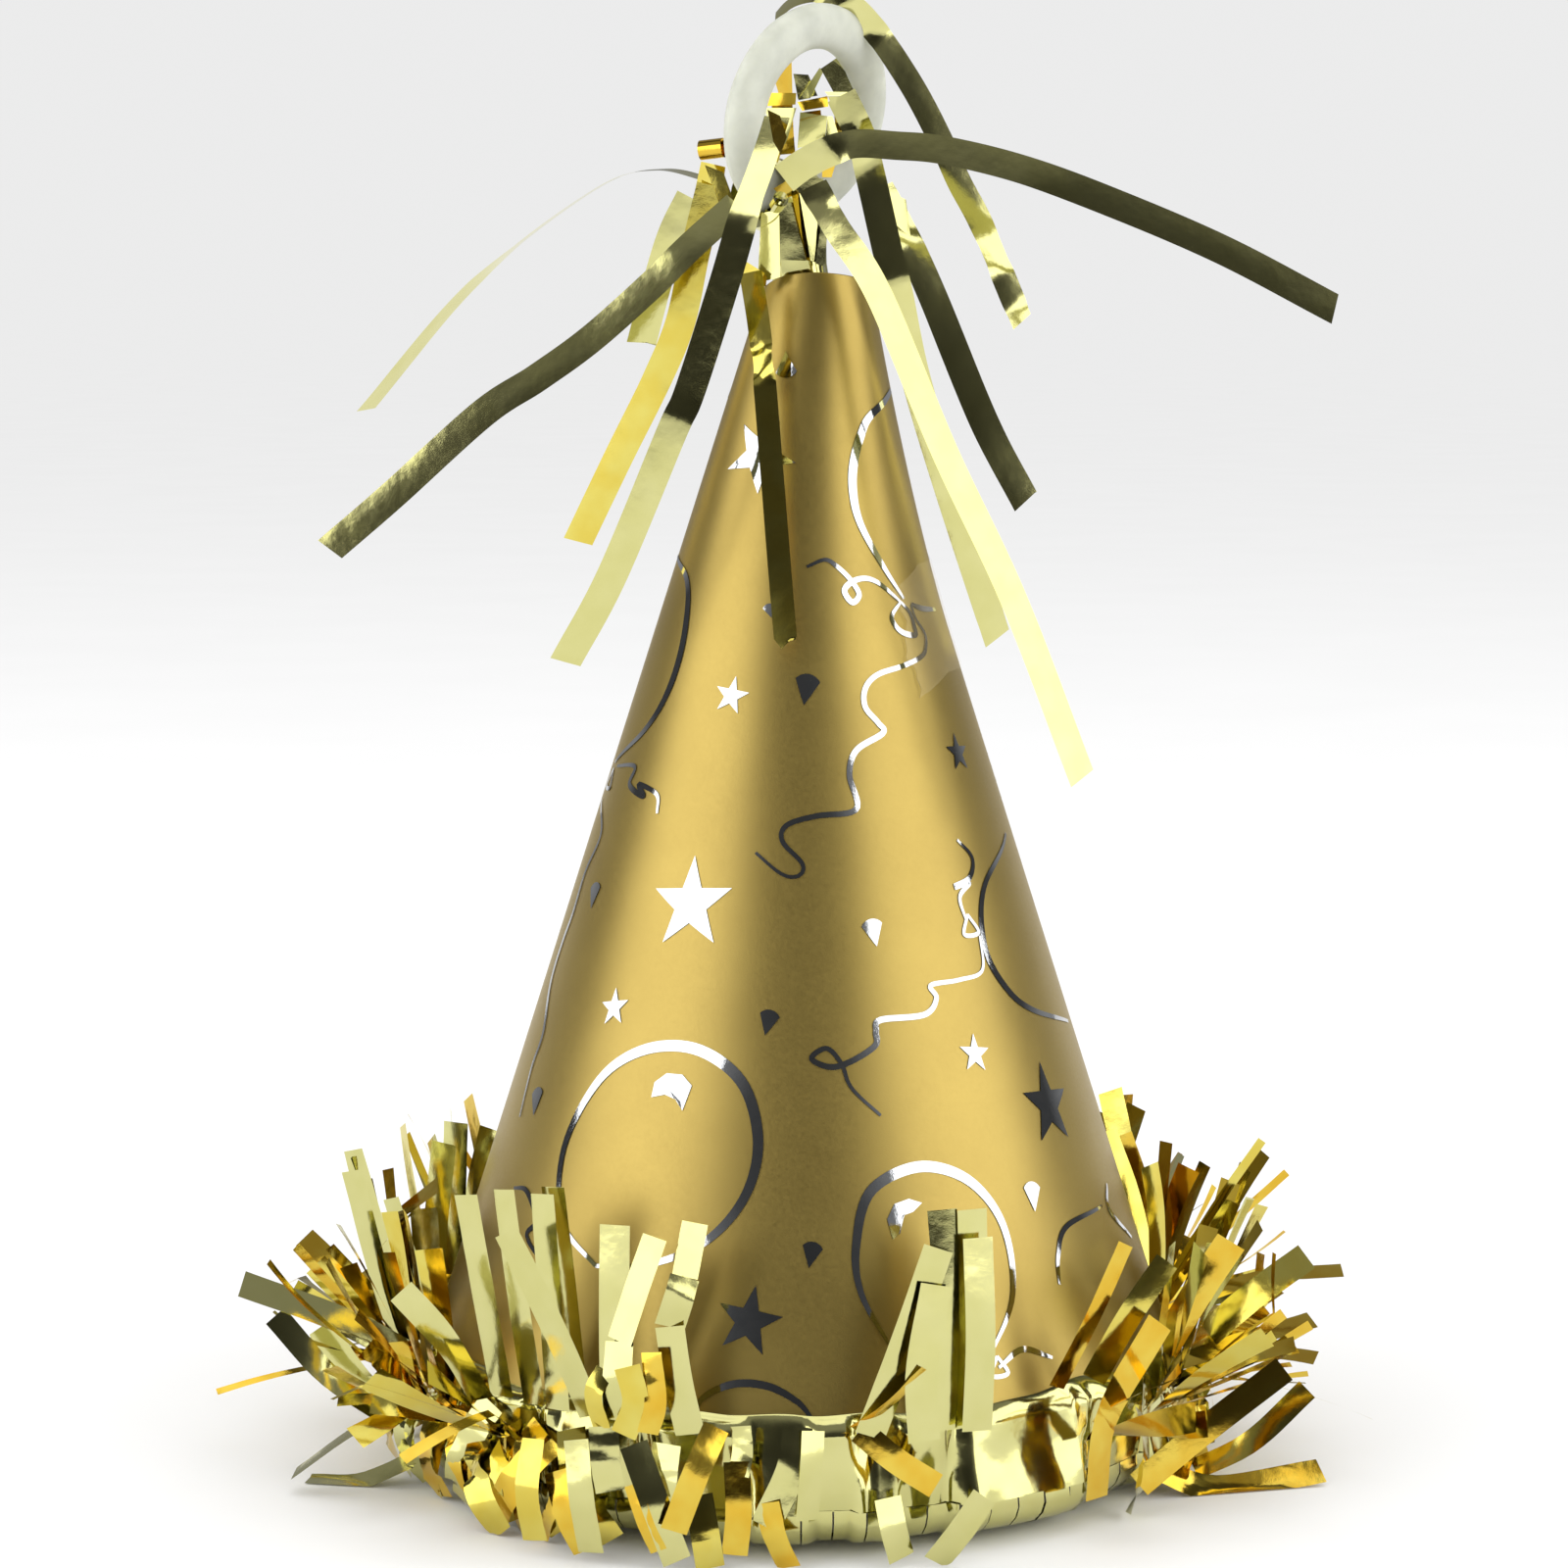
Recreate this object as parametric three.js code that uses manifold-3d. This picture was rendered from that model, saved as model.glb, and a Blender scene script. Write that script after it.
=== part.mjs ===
// Hat-shaped table weight: a rolled card cone on a heavy foil-wrapped base, with foil fringe round the
// foot and a foil tassel at the tip that holds a plastic ring for balloon ribbons. Millimetres, +Z up,
// the origin at the centre of the underside.
import * as THREE from "three";
import { mergeVertices } from "three/addons/utils/BufferGeometryUtils.js";
import Module from "manifold-3d";

const wasm = await Module();
wasm.setup();

// Driving dimensions
const GAP = 0.3; // clearance between neighbours
const FOIL = 0.5; // drawn thickness of every foil strip
const STRIP = 3.2; // width of one foil strip
const TURN = 2 * Math.PI;
const DEG = Math.PI / 180;

const CONE = { bottomZ: 13.6, rimZ: 13.3, rimRadius: 40, slope: 0.3186, wall: 0.6 };
const LAP = { startDeg: 40, overlapDeg: 16, liftEndDeg: 56, lift: 0.95, stepDeg: 8 };
const FLARE = { fromZ: 90, reach: 3.2 };
const RIM = { lowZ: 126.4, archHeight: 1.6, archDeg: 285 };
const TAPE = { fromDeg: -48, toDeg: 52, bottomZ: 83, topZ: 98, thickness: 0.3 };
const PUCK = { radius: 40.2, bottomZ: 1.2, topZ: 13.3, spigotTopZ: 19 };
const DISC = { radius: 32.6, thickness: 0.9 };
const BAND = { radius: 41.4, topZ: 13.3, foldZ: 5, tabs: 24, slitDeg: 0.6 };
const PLUG = { bottomZ: 108, topZ: 118 };
const RING = { radius: 9.3, halfRadial: 2.4, halfAxial: 1.8, leanDeg: 19, turnDeg: 49 };
const RING_FOOT = new THREE.Vector3(-2.4, 0, 135.9); // centre of the ring's tube at its lowest point
const STRAP = { innerRadius: 3.7, outerRadius: 4.2, width: 6 };

const COLOURS = {
  paper: { color: 0xc8a550, roughness: 0.42, metalness: 0.7 },
  foil: { color: 0xd8cc6a, roughness: 0.12, metalness: 1 },
  plaster: { color: 0xe8e4da, roughness: 0.9, metalness: 0 },
  card: { color: 0xd9d4c6, roughness: 0.85, metalness: 0 },
  glue: { color: 0xe9e2c4, roughness: 0.5, metalness: 0 },
  tape: { color: 0xe2cf9a, roughness: 0.2, metalness: 0 },
  plastic: { color: 0xdcdcd2, roughness: 0.45, metalness: 0 },
};

// ---- Helpers -------------------------------------------------------------------------------------

const hat = new THREE.Group();

function addPart(name, geometry, look, parent = hat) {
  geometry.computeVertexNormals();
  const mesh = new THREE.Mesh(geometry, new THREE.MeshStandardMaterial(COLOURS[look]));
  mesh.name = name;
  parent.add(mesh);
  return mesh;
}

// A repeatable number from 0 to 1 for the index and the channel.
function vary(index, channel) {
  const wave = Math.sin(index * 12.9898 + channel * 78.233) * 43758.5453;
  return wave - Math.floor(wave);
}

function polar(radius, angle, z) {
  return new THREE.Vector3(radius * Math.cos(angle), radius * Math.sin(angle), z);
}

// Joins loops of equal length into one closed solid. An open run gets an end cap that pairs each
// point with its opposite number, so a loop lists one side forwards and the other side backwards.
function loft(loops, closed = false) {
  const size = loops[0].length;
  const index = [];
  const quad = (a, b, c, d) => index.push(a, b, c, a, c, d);
  const spans = closed ? loops.length : loops.length - 1;
  for (let i = 0; i < spans; i += 1) {
    const here = i * size;
    const next = ((i + 1) % loops.length) * size;
    for (let j = 0; j < size; j += 1) {
      const k = (j + 1) % size;
      quad(here + j, here + k, next + k, next + j);
    }
  }
  if (!closed) {
    const end = (loops.length - 1) * size;
    for (let j = 0; j < size / 2 - 1; j += 1) {
      const far = size - 1 - j;
      quad(j, far, far - 1, j + 1);
      quad(end + j, end + j + 1, end + far - 1, end + far);
    }
  }
  const points = loops.flat();
  if (signedVolume(points, index) < 0) index.reverse();
  const geometry = new THREE.BufferGeometry().setFromPoints(points);
  geometry.setIndex(index);
  return geometry;
}

function signedVolume(points, index) {
  let total = 0;
  for (let i = 0; i < index.length; i += 3) {
    const [a, b, c] = [points[index[i]], points[index[i + 1]], points[index[i + 2]]];
    total += a.dot(new THREE.Vector3().crossVectors(b, c));
  }
  return total;
}

function toSolid(geometry) {
  const bare = geometry.clone();
  bare.deleteAttribute("normal");
  bare.deleteAttribute("uv");
  const merged = mergeVertices(bare);
  const vertProperties = Float32Array.from(merged.attributes.position.array);
  const triVerts = Uint32Array.from(merged.index.array);
  return new wasm.Manifold(new wasm.Mesh({ numProp: 3, vertProperties, triVerts }));
}

function unite(geometries) {
  let solid = toSolid(geometries[0]);
  for (const geometry of geometries.slice(1)) solid = solid.add(toSolid(geometry));
  const mesh = solid.getMesh();
  const geometry = new THREE.BufferGeometry();
  const places = Float32Array.from(mesh.vertProperties);
  geometry.setAttribute("position", new THREE.BufferAttribute(places, 3));
  geometry.setIndex(new THREE.BufferAttribute(Uint32Array.from(mesh.triVerts), 1));
  return geometry;
}

// A flat strip along a curve. Its broad face looks along faceFrom at the start and faceTo at the end.
function stripAlong(points, faceFrom, faceTo, options = {}) {
  const { width = STRIP, thickness = FOIL, steps = 12 } = options;
  const knots = points.map((p) => new THREE.Vector3(...p));
  const curve = new THREE.CatmullRomCurve3(knots, false, "centripetal");
  const loops = [];
  for (let i = 0; i <= steps; i += 1) {
    const t = i / steps;
    const along = curve.getTangentAt(t);
    const face = new THREE.Vector3(...faceFrom).lerp(new THREE.Vector3(...faceTo), t);
    face.addScaledVector(along, -face.dot(along)).normalize();
    const across = new THREE.Vector3().crossVectors(along, face).multiplyScalar(width / 2);
    const depth = face.multiplyScalar(thickness / 2);
    const centre = curve.getPointAt(t);
    loops.push([
      centre.clone().add(across).add(depth),
      centre.clone().sub(across).add(depth),
      centre.clone().sub(across).sub(depth),
      centre.clone().add(across).sub(depth),
    ]);
  }
  return loft(loops);
}

// A section of [radius, z] points swept about the Z axis from one angle to another.
function sweepSection(section, fromDeg, toDeg, stepDeg) {
  const full = toDeg - fromDeg >= 360;
  const steps = Math.max(1, Math.round((toDeg - fromDeg) / stepDeg));
  const loops = [];
  for (let i = 0; i < (full ? steps : steps + 1); i += 1) {
    const angle = (fromDeg + ((toDeg - fromDeg) * i) / steps) * DEG;
    loops.push(section.map(([radius, z]) => polar(radius, angle, z)));
  }
  return loft(loops, full);
}

// ---- Card cone -----------------------------------------------------------------------------------

// Outer radius of the card at a height and angle, flared to one side near the tip.
function coneRadius(z, angle) {
  const straight = CONE.rimRadius - CONE.slope * (z - CONE.rimZ);
  const rise = Math.max(0, (z - FLARE.fromZ) / (RIM.lowZ - FLARE.fromZ));
  const side = 0.5 + 0.5 * Math.cos(angle);
  return straight + FLARE.reach * rise ** 1.6 * side ** 1.5;
}

// How far the card stands off the plain cone, by the angle turned from its outer end.
function lapLift(turnedDeg) {
  const settle = THREE.MathUtils.smoothstep(turnedDeg, LAP.overlapDeg, LAP.liftEndDeg);
  return LAP.lift * (1 - settle);
}

// The sheet is rolled clockwise: its outer end rides over its inner end and settles against the
// plain cone further round. The cut edge at the tip arches up towards the front.
function rolledCone() {
  const levels = [0, 0.67, 0.76, 0.84, 0.92, 1];
  const loops = [];
  for (let turnedDeg = 0; turnedDeg <= 360 + LAP.overlapDeg; turnedDeg += LAP.stepDeg) {
    const angle = (LAP.startDeg - turnedDeg) * DEG;
    const lift = lapLift(turnedDeg);
    const top = RIM.lowZ + RIM.archHeight * Math.max(0, Math.cos(angle - RIM.archDeg * DEG));
    const heights = levels.map((level) => CONE.bottomZ + level * (top - CONE.bottomZ));
    const outer = heights.map((z) => polar(coneRadius(z, angle) + lift, angle, z));
    const inner = heights.map((z) => polar(coneRadius(z, angle) + lift - CONE.wall, angle, z));
    loops.push([...outer, ...inner.reverse()]);
  }
  return loft(loops);
}

function tapePatch() {
  const across = 12;
  const rows = 6;
  const loops = [];
  for (let i = 0; i <= across; i += 1) {
    const outer = [];
    const inner = [];
    for (let j = 0; j <= rows; j += 1) {
      const z = TAPE.bottomZ + ((TAPE.topZ - TAPE.bottomZ) * j) / rows;
      const torn = (1 - i / across) * (4 * Math.sin(j * 1.9) + 2.5 * Math.sin(j * 4.1));
      const spotDeg = TAPE.fromDeg + torn + ((TAPE.toDeg - TAPE.fromDeg) * i) / across;
      const angle = spotDeg * DEG;
      const lift = spotDeg < LAP.startDeg ? lapLift(LAP.startDeg - spotDeg) : LAP.lift;
      const radius = coneRadius(z, angle) + lift + 1.6 * GAP;
      outer.push(polar(radius + TAPE.thickness, angle, z));
      inner.push(polar(radius, angle, z));
    }
    loops.push([...outer, ...inner.reverse()]);
  }
  return loft(loops);
}

addPart("cone_shell", rolledCone(), "paper");
addPart("seam_tape", tapePatch(), "tape");

// ---- Weighted base -------------------------------------------------------------------------------

function latheOf(points, segments) {
  return new THREE.LatheGeometry(points.map(([x, y]) => new THREE.Vector2(x, y)), segments);
}

function onEnd(geometry) {
  return geometry.rotateX(Math.PI / 2);
}

const puckProfile = [
  [0, PUCK.bottomZ],
  [PUCK.radius - 4, PUCK.bottomZ],
  [PUCK.radius - 1.3, PUCK.bottomZ + 1.2],
  [PUCK.radius, PUCK.bottomZ + 3.8],
  [PUCK.radius, PUCK.topZ],
  [PUCK.radius - 1.2, PUCK.topZ],
  [PUCK.radius - 3.2, PUCK.spigotTopZ],
  [0, PUCK.spigotTopZ],
];
addPart("weight_puck", onEnd(latheOf(puckProfile, 40)), "plaster");

const discShape = new THREE.CylinderGeometry(DISC.radius, DISC.radius, DISC.thickness, 40);
const disc = addPart("base_disc", onEnd(discShape), "card");
disc.position.z = DISC.thickness / 2;

// The wrapped band: a plain hoop, then a row of slit tabs turned under the weight.
function foilBand() {
  const half = FOIL / 2;
  const hoop = sweepSection(
    [
      [BAND.radius + half, BAND.foldZ - 0.5],
      [BAND.radius + half, BAND.topZ],
      [BAND.radius - half, BAND.topZ],
      [BAND.radius - half, BAND.foldZ - 0.5],
    ],
    0,
    360,
    7.5,
  );
  const outside = [[0, BAND.foldZ], [-0.8, 2.4], [-3.4, 0.6], [-8.2, 0.3]];
  const inside = [[0, BAND.foldZ], [-0.6, 2.7], [-3.1, 1.1], [-8.2, 0.8]];
  const section = [
    ...outside.map(([dr, z]) => [BAND.radius + half + dr, z]),
    ...inside.reverse().map(([dr, z]) => [BAND.radius - half + dr, z]),
  ];
  const pitch = 360 / BAND.tabs;
  const tabs = [];
  for (let i = 0; i < BAND.tabs; i += 1) {
    tabs.push(sweepSection(section, i * pitch + BAND.slitDeg / 2, (i + 1) * pitch - BAND.slitDeg / 2, 7.5));
  }
  return unite([hoop, ...tabs]);
}

addPart("base_foil_band", foilBand(), "foil");

// ---- Fringe round the foot -----------------------------------------------------------------------

// One strip that leaves a heading at an angle round the base. It starts low on the heading, so that
// the two are one piece, then bends over the heading's edge to its own rise and curls from there.
function fringeStrip(heading, angle, look) {
  const outward = polar(1, angle, 0);
  const sideways = polar(1, angle + Math.PI / 2, 0);
  const rootZ = heading.edgeUp ? heading.topZ : heading.bottomZ;
  const start = polar(heading.radius, angle, rootZ);
  start.z += heading.edgeUp ? -1.5 : 1.5;
  const points = [start, polar(heading.radius, angle, rootZ)];
  const pieces = 3;
  for (let i = 1; i <= pieces; i += 1) {
    const rise = (look.rise + look.curl * ((i - 1) / (pieces - 1))) * DEG;
    const step = look.length / pieces;
    const move = outward.clone().multiplyScalar(Math.cos(rise) * step);
    move.z = Math.sin(rise) * step;
    move.addScaledVector(sideways, look.lean * step);
    points.push(points[points.length - 1].clone().add(move));
  }
  const across = sideways.clone().addScaledVector(outward, -look.lean).normalize();
  const loops = points.map((centre, i) => {
    const before = points[Math.max(0, i - 1)];
    const after = points[Math.min(points.length - 1, i + 1)];
    const along = after.clone().sub(before).normalize();
    const face = new THREE.Vector3().crossVectors(across, along).normalize();
    const twist = i < 2 ? 0 : look.twist * DEG * ((i - 1) / pieces);
    const wide = across.clone().applyAxisAngle(along, twist).multiplyScalar(STRIP / 2);
    const deep = face.applyAxisAngle(along, twist).multiplyScalar(FOIL / 2);
    return [
      centre.clone().add(wide).add(deep),
      centre.clone().sub(wide).add(deep),
      centre.clone().sub(wide).sub(deep),
      centre.clone().add(wide).sub(deep),
    ];
  });
  return loft(loops);
}

// A fringe layer is its heading, a hoop or part of one, with strips all along it.
function fringeLayer(heading, makeLook) {
  const half = FOIL / 2;
  const section = [
    [heading.radius + half, heading.bottomZ],
    [heading.radius + half, heading.topZ],
    [heading.radius - half, heading.topZ],
    [heading.radius - half, heading.bottomZ],
  ];
  const pieces = [sweepSection(section, heading.fromDeg, heading.toDeg, 10)];
  const marginDeg = heading.toDeg - heading.fromDeg >= 360 ? 0 : 2.5;
  const roomDeg = heading.toDeg - heading.fromDeg - 2 * marginDeg;
  for (let i = 0; i < heading.strips; i += 1) {
    const share = (i + 0.3 + 0.4 * vary(i, heading.radius)) / heading.strips;
    const spot = heading.fromDeg + marginDeg + roomDeg * share;
    pieces.push(fringeStrip(heading, spot * DEG, makeLook(i, spot)));
  }
  return unite(pieces);
}

const LAYERS = {
  fringe_inner: {
    radius: 42.6, bottomZ: 8, topZ: 13.3, fromDeg: 0, toDeg: 360, strips: 24, edgeUp: true,
  },
  fringe_outer: {
    radius: 43.9, bottomZ: 7.5, topZ: 12.5, fromDeg: -30, toDeg: 250, strips: 30, edgeUp: true,
  },
  fringe_lower: {
    radius: 45.2, bottomZ: 5.5, topZ: 10.5, fromDeg: -22, toDeg: 278, strips: 24, edgeUp: false,
  },
};
const LOOKS = {
  fringe_inner: (i) => ({
    rise: 78 + 10 * vary(i, 1),
    curl: -4 + 6 * vary(i, 2),
    length: 16 + 8 * vary(i, 3),
    lean: -0.2 + 0.4 * vary(i, 4),
    twist: -16 + 32 * vary(i, 5),
  }),
  fringe_outer: (i) => ({
    rise: 12 + 30 * vary(i, 6),
    curl: -6 + 10 * vary(i, 7),
    length: 13 + 6.5 * vary(i, 8),
    lean: -0.3 + 0.6 * vary(i, 9),
    twist: -24 + 48 * vary(i, 10),
  }),
  fringe_lower: (i) => ({
    rise: -14 + 10 * vary(i, 11),
    curl: -4 + 14 * vary(i, 12),
    length: 7 + 9 * vary(i, 13),
    lean: -0.25 + 0.5 * vary(i, 14),
    twist: -20 + 40 * vary(i, 15),
  }),
};
for (const [name, heading] of Object.entries(LAYERS)) {
  addPart(name, fringeLayer(heading, LOOKS[name]), "foil");
}

// ---- Foil neck in the tip ------------------------------------------------------------------------

// A closed bundle of folds: level rounds with shallow flutes, each with its own centre and radius.
function fluted(levels, flutes, depth) {
  const points = 20;
  const loops = levels.map(({ x, z, radius }) => {
    const loop = [];
    for (let i = 0; i < points; i += 1) {
      const angle = (TURN * i) / points;
      const spot = polar(radius * (1 - depth + depth * Math.cos(flutes * angle)), angle, z);
      loop.push(spot.add(new THREE.Vector3(x, 0, 0)));
    }
    return loop;
  });
  return loft(loops);
}

const plugRadius = (z) => coneRadius(z, Math.PI) - CONE.wall - GAP;
const plugProfile = [
  [0, PLUG.bottomZ],
  [plugRadius(PLUG.bottomZ), PLUG.bottomZ],
  [plugRadius(PLUG.topZ), PLUG.topZ],
  [0, PLUG.topZ],
];
addPart("glue_plug", onEnd(latheOf(plugProfile, 36)), "glue");

const neckLevels = [
  { x: 0, z: PLUG.topZ + GAP, radius: 3.6 },
  { x: 0.2, z: 125, radius: 2.9 },
  { x: 0.3, z: 127.2, radius: 2.4 },
  { x: -0.4, z: 128.4, radius: 3.5 },
  { x: -0.7, z: RING_FOOT.z - STRAP.outerRadius - 1, radius: 3.4 },
];
addPart("foil_neck", fluted(neckLevels, 5, 0.1), "foil");

// ---- Ring and the foil that holds it -------------------------------------------------------------

// The ring's own axes: across its face, up its face, and out of its face.
const lean = RING.leanDeg * DEG;
const turned = RING.turnDeg * DEG;
const ringAcross = new THREE.Vector3(
  Math.cos(turned) * Math.cos(lean),
  Math.sin(turned),
  -Math.cos(turned) * Math.sin(lean),
);
const ringUp = new THREE.Vector3(Math.sin(lean), 0, Math.cos(lean));
const ringOut = new THREE.Vector3().crossVectors(ringAcross, ringUp);
const ringGroup = new THREE.Group();
ringGroup.quaternion.setFromRotationMatrix(new THREE.Matrix4().makeBasis(ringAcross, ringUp, ringOut));
ringGroup.position.copy(RING_FOOT).addScaledVector(ringUp, RING.radius);
hat.add(ringGroup);

// A point on an oval tube bent round the ring's circle.
function ringPoint(along, around, halfRadial, halfAxial) {
  const reach = RING.radius + halfRadial * Math.cos(around);
  return new THREE.Vector3(reach * Math.cos(along), reach * Math.sin(along), halfAxial * Math.sin(around));
}

function ringTube(segments, sides) {
  const loops = [];
  for (let i = 0; i < segments; i += 1) {
    const loop = [];
    for (let j = 0; j < sides; j += 1) {
      loop.push(ringPoint((TURN * i) / segments, (TURN * j) / sides, RING.halfRadial, RING.halfAxial));
    }
    loops.push(loop);
  }
  return loft(loops, true);
}

// A sleeve round the lowest stretch of the ring, free to slide along it.
function ringCollar() {
  const sides = 12;
  const steps = 4;
  const halfSpread = 15 * DEG;
  const clear = 0.4;
  const skin = 0.4;
  const loops = [];
  for (let j = 0; j < sides; j += 1) {
    const around = (TURN * j) / sides;
    const outer = [];
    const inner = [];
    for (let i = 0; i <= steps; i += 1) {
      const along = -Math.PI / 2 - halfSpread + (2 * halfSpread * i) / steps;
      outer.push(ringPoint(along, around, RING.halfRadial + clear + skin, RING.halfAxial + clear + skin));
      inner.push(ringPoint(along, around, RING.halfRadial + clear, RING.halfAxial + clear));
    }
    loops.push([...outer, ...inner.reverse()]);
  }
  return loft(loops, true);
}

// The strap is a short open sleeve about the swing axis, and the collar turns inside it.
function ringStrap() {
  const sides = 20;
  const halfWidth = STRAP.width / 2;
  const loops = [];
  for (let j = 0; j < sides; j += 1) {
    const around = (TURN * j) / sides;
    const spot = (x, radius) => new THREE.Vector3(
      x,
      radius * Math.cos(around) - RING.radius,
      radius * Math.sin(around),
    );
    loops.push([
      spot(-halfWidth, STRAP.outerRadius),
      spot(halfWidth, STRAP.outerRadius),
      spot(halfWidth, STRAP.innerRadius),
      spot(-halfWidth, STRAP.innerRadius),
    ]);
  }
  return loft(loops, true);
}

addPart("hanging_ring", ringTube(32, 10), "plastic", ringGroup);
addPart("ring_collar", ringCollar(), "foil", ringGroup);
addPart("ring_strap", ringStrap(), "foil", ringGroup);

// ---- Tassel --------------------------------------------------------------------------------------

const FRONT = [0, -1, 0];
const LEFT_FRONT = [-0.6, -0.8, 0];
const RIGHT_FRONT = [0.6, -0.8, 0];
const LEFT = [-1, -0.2, 0.2];
const UP = [0, -0.3, 1];

// Each streamer: where it runs, from the neck to its free end, and which way its face looks at each end.
const STREAMERS = {
  streamer_long_left: {
    route: [
      [-6.9, -3.6, 134.2], [-11.8, -5.6, 130.2], [-16, -6, 126.2], [-22, -6.4, 121],
      [-33.3, -7.4, 113.2], [-42.7, -7.2, 104.8], [-49.4, -7, 98.8],
    ],
    from: LEFT_FRONT,
    to: UP,
  },
  streamer_far_left: {
    route: [[-8.5, 3.5, 137.5], [-15, 6, 139], [-22, 8, 137], [-35.5, 12, 127], [-48, 16, 113]],
    from: UP,
    to: [-0.9, 0.1, 1],
  },
  streamer_front_left: {
    route: [
      [-2, -10.8, 144], [-3.9, -12.2, 139.2], [-5.7, -12.4, 134.2], [-7.9, -12.6, 126.7],
      [-11.5, -12.8, 115.6], [-13.3, -13, 111.6], [-19.7, -11.4, 96.4], [-24.7, -9.6, 87.2],
    ],
    from: FRONT,
    to: LEFT_FRONT,
  },
  streamer_left: {
    route: [
      [-10, 0.8, 136], [-11.3, 1.2, 130], [-12.9, 1.8, 122.8], [-15.5, 2.8, 116.4],
      [-19.6, 4.4, 108.2], [-24.1, 6.2, 99],
    ],
    from: LEFT_FRONT,
    to: FRONT,
  },
  streamer_short_left: {
    route: [[-11.6, 4, 136], [-13.7, 4.6, 132], [-15.4, 5.2, 126.6], [-17.1, 6, 120.5]],
    from: LEFT,
    to: LEFT_FRONT,
  },
  streamer_on_cone: {
    route: [
      [-5.2, -6.4, 128], [-4.1, -9.6, 120.7], [-3, -13.5, 108], [-2.1, -17, 97], [-1.6, -19.4, 90],
    ],
    from: FRONT,
    to: FRONT,
  },
  streamer_bright_right: {
    route: [
      [1.4, -7.6, 136.9], [3.8, -8.8, 132.5], [8.2, -9.6, 125.6], [15, -11.5, 109.5],
      [22.2, -13.4, 94.2], [29.4, -14.8, 75.7],
    ],
    from: FRONT,
    to: RIGHT_FRONT,
  },
  streamer_pale_right: {
    route: [
      [4.3, -3.8, 146.4], [6.3, -3.8, 142.2], [7.4, -3.4, 138.1], [9.3, -3.6, 129.8],
      [10.3, -3.6, 126], [12.3, -1.6, 116.9], [16, 2, 105], [21.6, 6.6, 88.4],
    ],
    from: FRONT,
    to: FRONT,
  },
  streamer_dark_right: {
    route: [
      [8.8, 5.4, 137.2], [9.8, 5.2, 135.3], [11.9, 5, 130.8], [14.5, 4.6, 125], [19.9, 4, 112],
      [24.3, 3.6, 103.6],
    ],
    from: RIGHT_FRONT,
    to: FRONT,
  },
  streamer_over_ring: {
    route: [
      [-3.6, 4, 152.8], [-2.2, 3, 155.4], [0.4, 2, 157.2], [3.6, 1.2, 157.1], [6.8, 0.8, 155.4],
      [9.2, 0.8, 152.4], [11.4, 1, 149.2], [13.2, 1, 146], [16.9, 1, 137.4], [19.5, 1, 132.5],
      [23.7, 1, 122.8],
    ],
    from: [-0.3, 0.3, 1],
    to: [0.9, -0.5, 0.3],
  },
  streamer_long_right: {
    route: [
      [-1.4, -8.6, 137.8], [0.6, -8.8, 139.1], [2.8, -9, 140.2], [5.8, -9.1, 141], [9.8, -9.4, 140.9],
      [15, -9.8, 140.4], [23, -10.6, 138.4], [32.2, -11.6, 135], [43.4, -13, 130.3],
      [54.8, -14.4, 124.3],
    ],
    from: FRONT,
    to: [0.3, -0.9, 0.5],
  },
};
for (const [name, { route, from, to }] of Object.entries(STREAMERS)) {
  addPart(name, stripAlong(route, from, to), "foil");
}

// Folded ends of the bundle that stand up through the ring.
const FOLDS = {
  fold_left: { route: [[-1, -1.9, 140.9], [-1, -2.2, 143], [-1.2, -3, 144.4]], width: 3.6 },
  fold_right: { route: [[3.8, -1.2, 139.8], [4.1, -1.2, 142.8], [4.2, -1.8, 144.5]], width: 3.4 },
};
for (const [name, { route, width }] of Object.entries(FOLDS)) {
  addPart(name, stripAlong(route, FRONT, FRONT, { width, steps: 5 }), "foil");
}

export default hat;
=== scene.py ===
"""A hat-shaped table weight: gold card cone, foil-wrapped foot with a foil fringe, and a foil tassel
that holds a frosted ring. Lengths are in millimetres until a mesh is built."""
from math import cos, degrees as in_degrees, pi, radians, sin, tan
import random

import bpy
from mathutils import Matrix, Vector, noise


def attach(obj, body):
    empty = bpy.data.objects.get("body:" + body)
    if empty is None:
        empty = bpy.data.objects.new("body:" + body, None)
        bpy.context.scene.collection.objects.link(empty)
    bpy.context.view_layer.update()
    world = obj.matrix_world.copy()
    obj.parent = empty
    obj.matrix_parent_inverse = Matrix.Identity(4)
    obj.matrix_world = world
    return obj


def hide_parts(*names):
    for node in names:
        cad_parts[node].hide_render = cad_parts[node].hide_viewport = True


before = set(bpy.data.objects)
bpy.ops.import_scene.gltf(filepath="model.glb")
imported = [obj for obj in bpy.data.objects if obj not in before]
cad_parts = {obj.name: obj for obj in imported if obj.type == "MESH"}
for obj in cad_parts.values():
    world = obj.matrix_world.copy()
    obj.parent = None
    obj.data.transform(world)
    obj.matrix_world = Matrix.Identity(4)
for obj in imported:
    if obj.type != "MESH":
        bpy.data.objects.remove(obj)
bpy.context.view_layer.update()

MM = 0.001
TURN = 2 * pi
STRIP = 3.2  # width of one foil strip
CARD = 0.45  # thickness of the card
FLOOR_GAP = 0.15  # the lowest that a strip may hang
CUP = 0.03  # how far a strip's middle stands out
TAPER = 1.6 / 110  # the share of a strip's length over which a pointed end narrows
RIM_Z = 13.3
CONE_BOTTOM_Z = 13.6
CONE_RADIUS = 40.0
CONE_SLOPE = 0.3186
FLARE_FROM_Z = 90.0
FLARE_REACH = 3.2
TIP_Z = 126.4
TIP_RISE = 1.6  # the tip's cut edge stands higher at one side
TIP_RISE_AT = 285.0
EDGE = 0.1  # distance of the row of points that keeps an edge of the card sharp
LAP_START = 40.0  # degrees, where the card's outer end lies
LAP_LIFT = 0.95
BAND_RADIUS = 41.4
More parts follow.
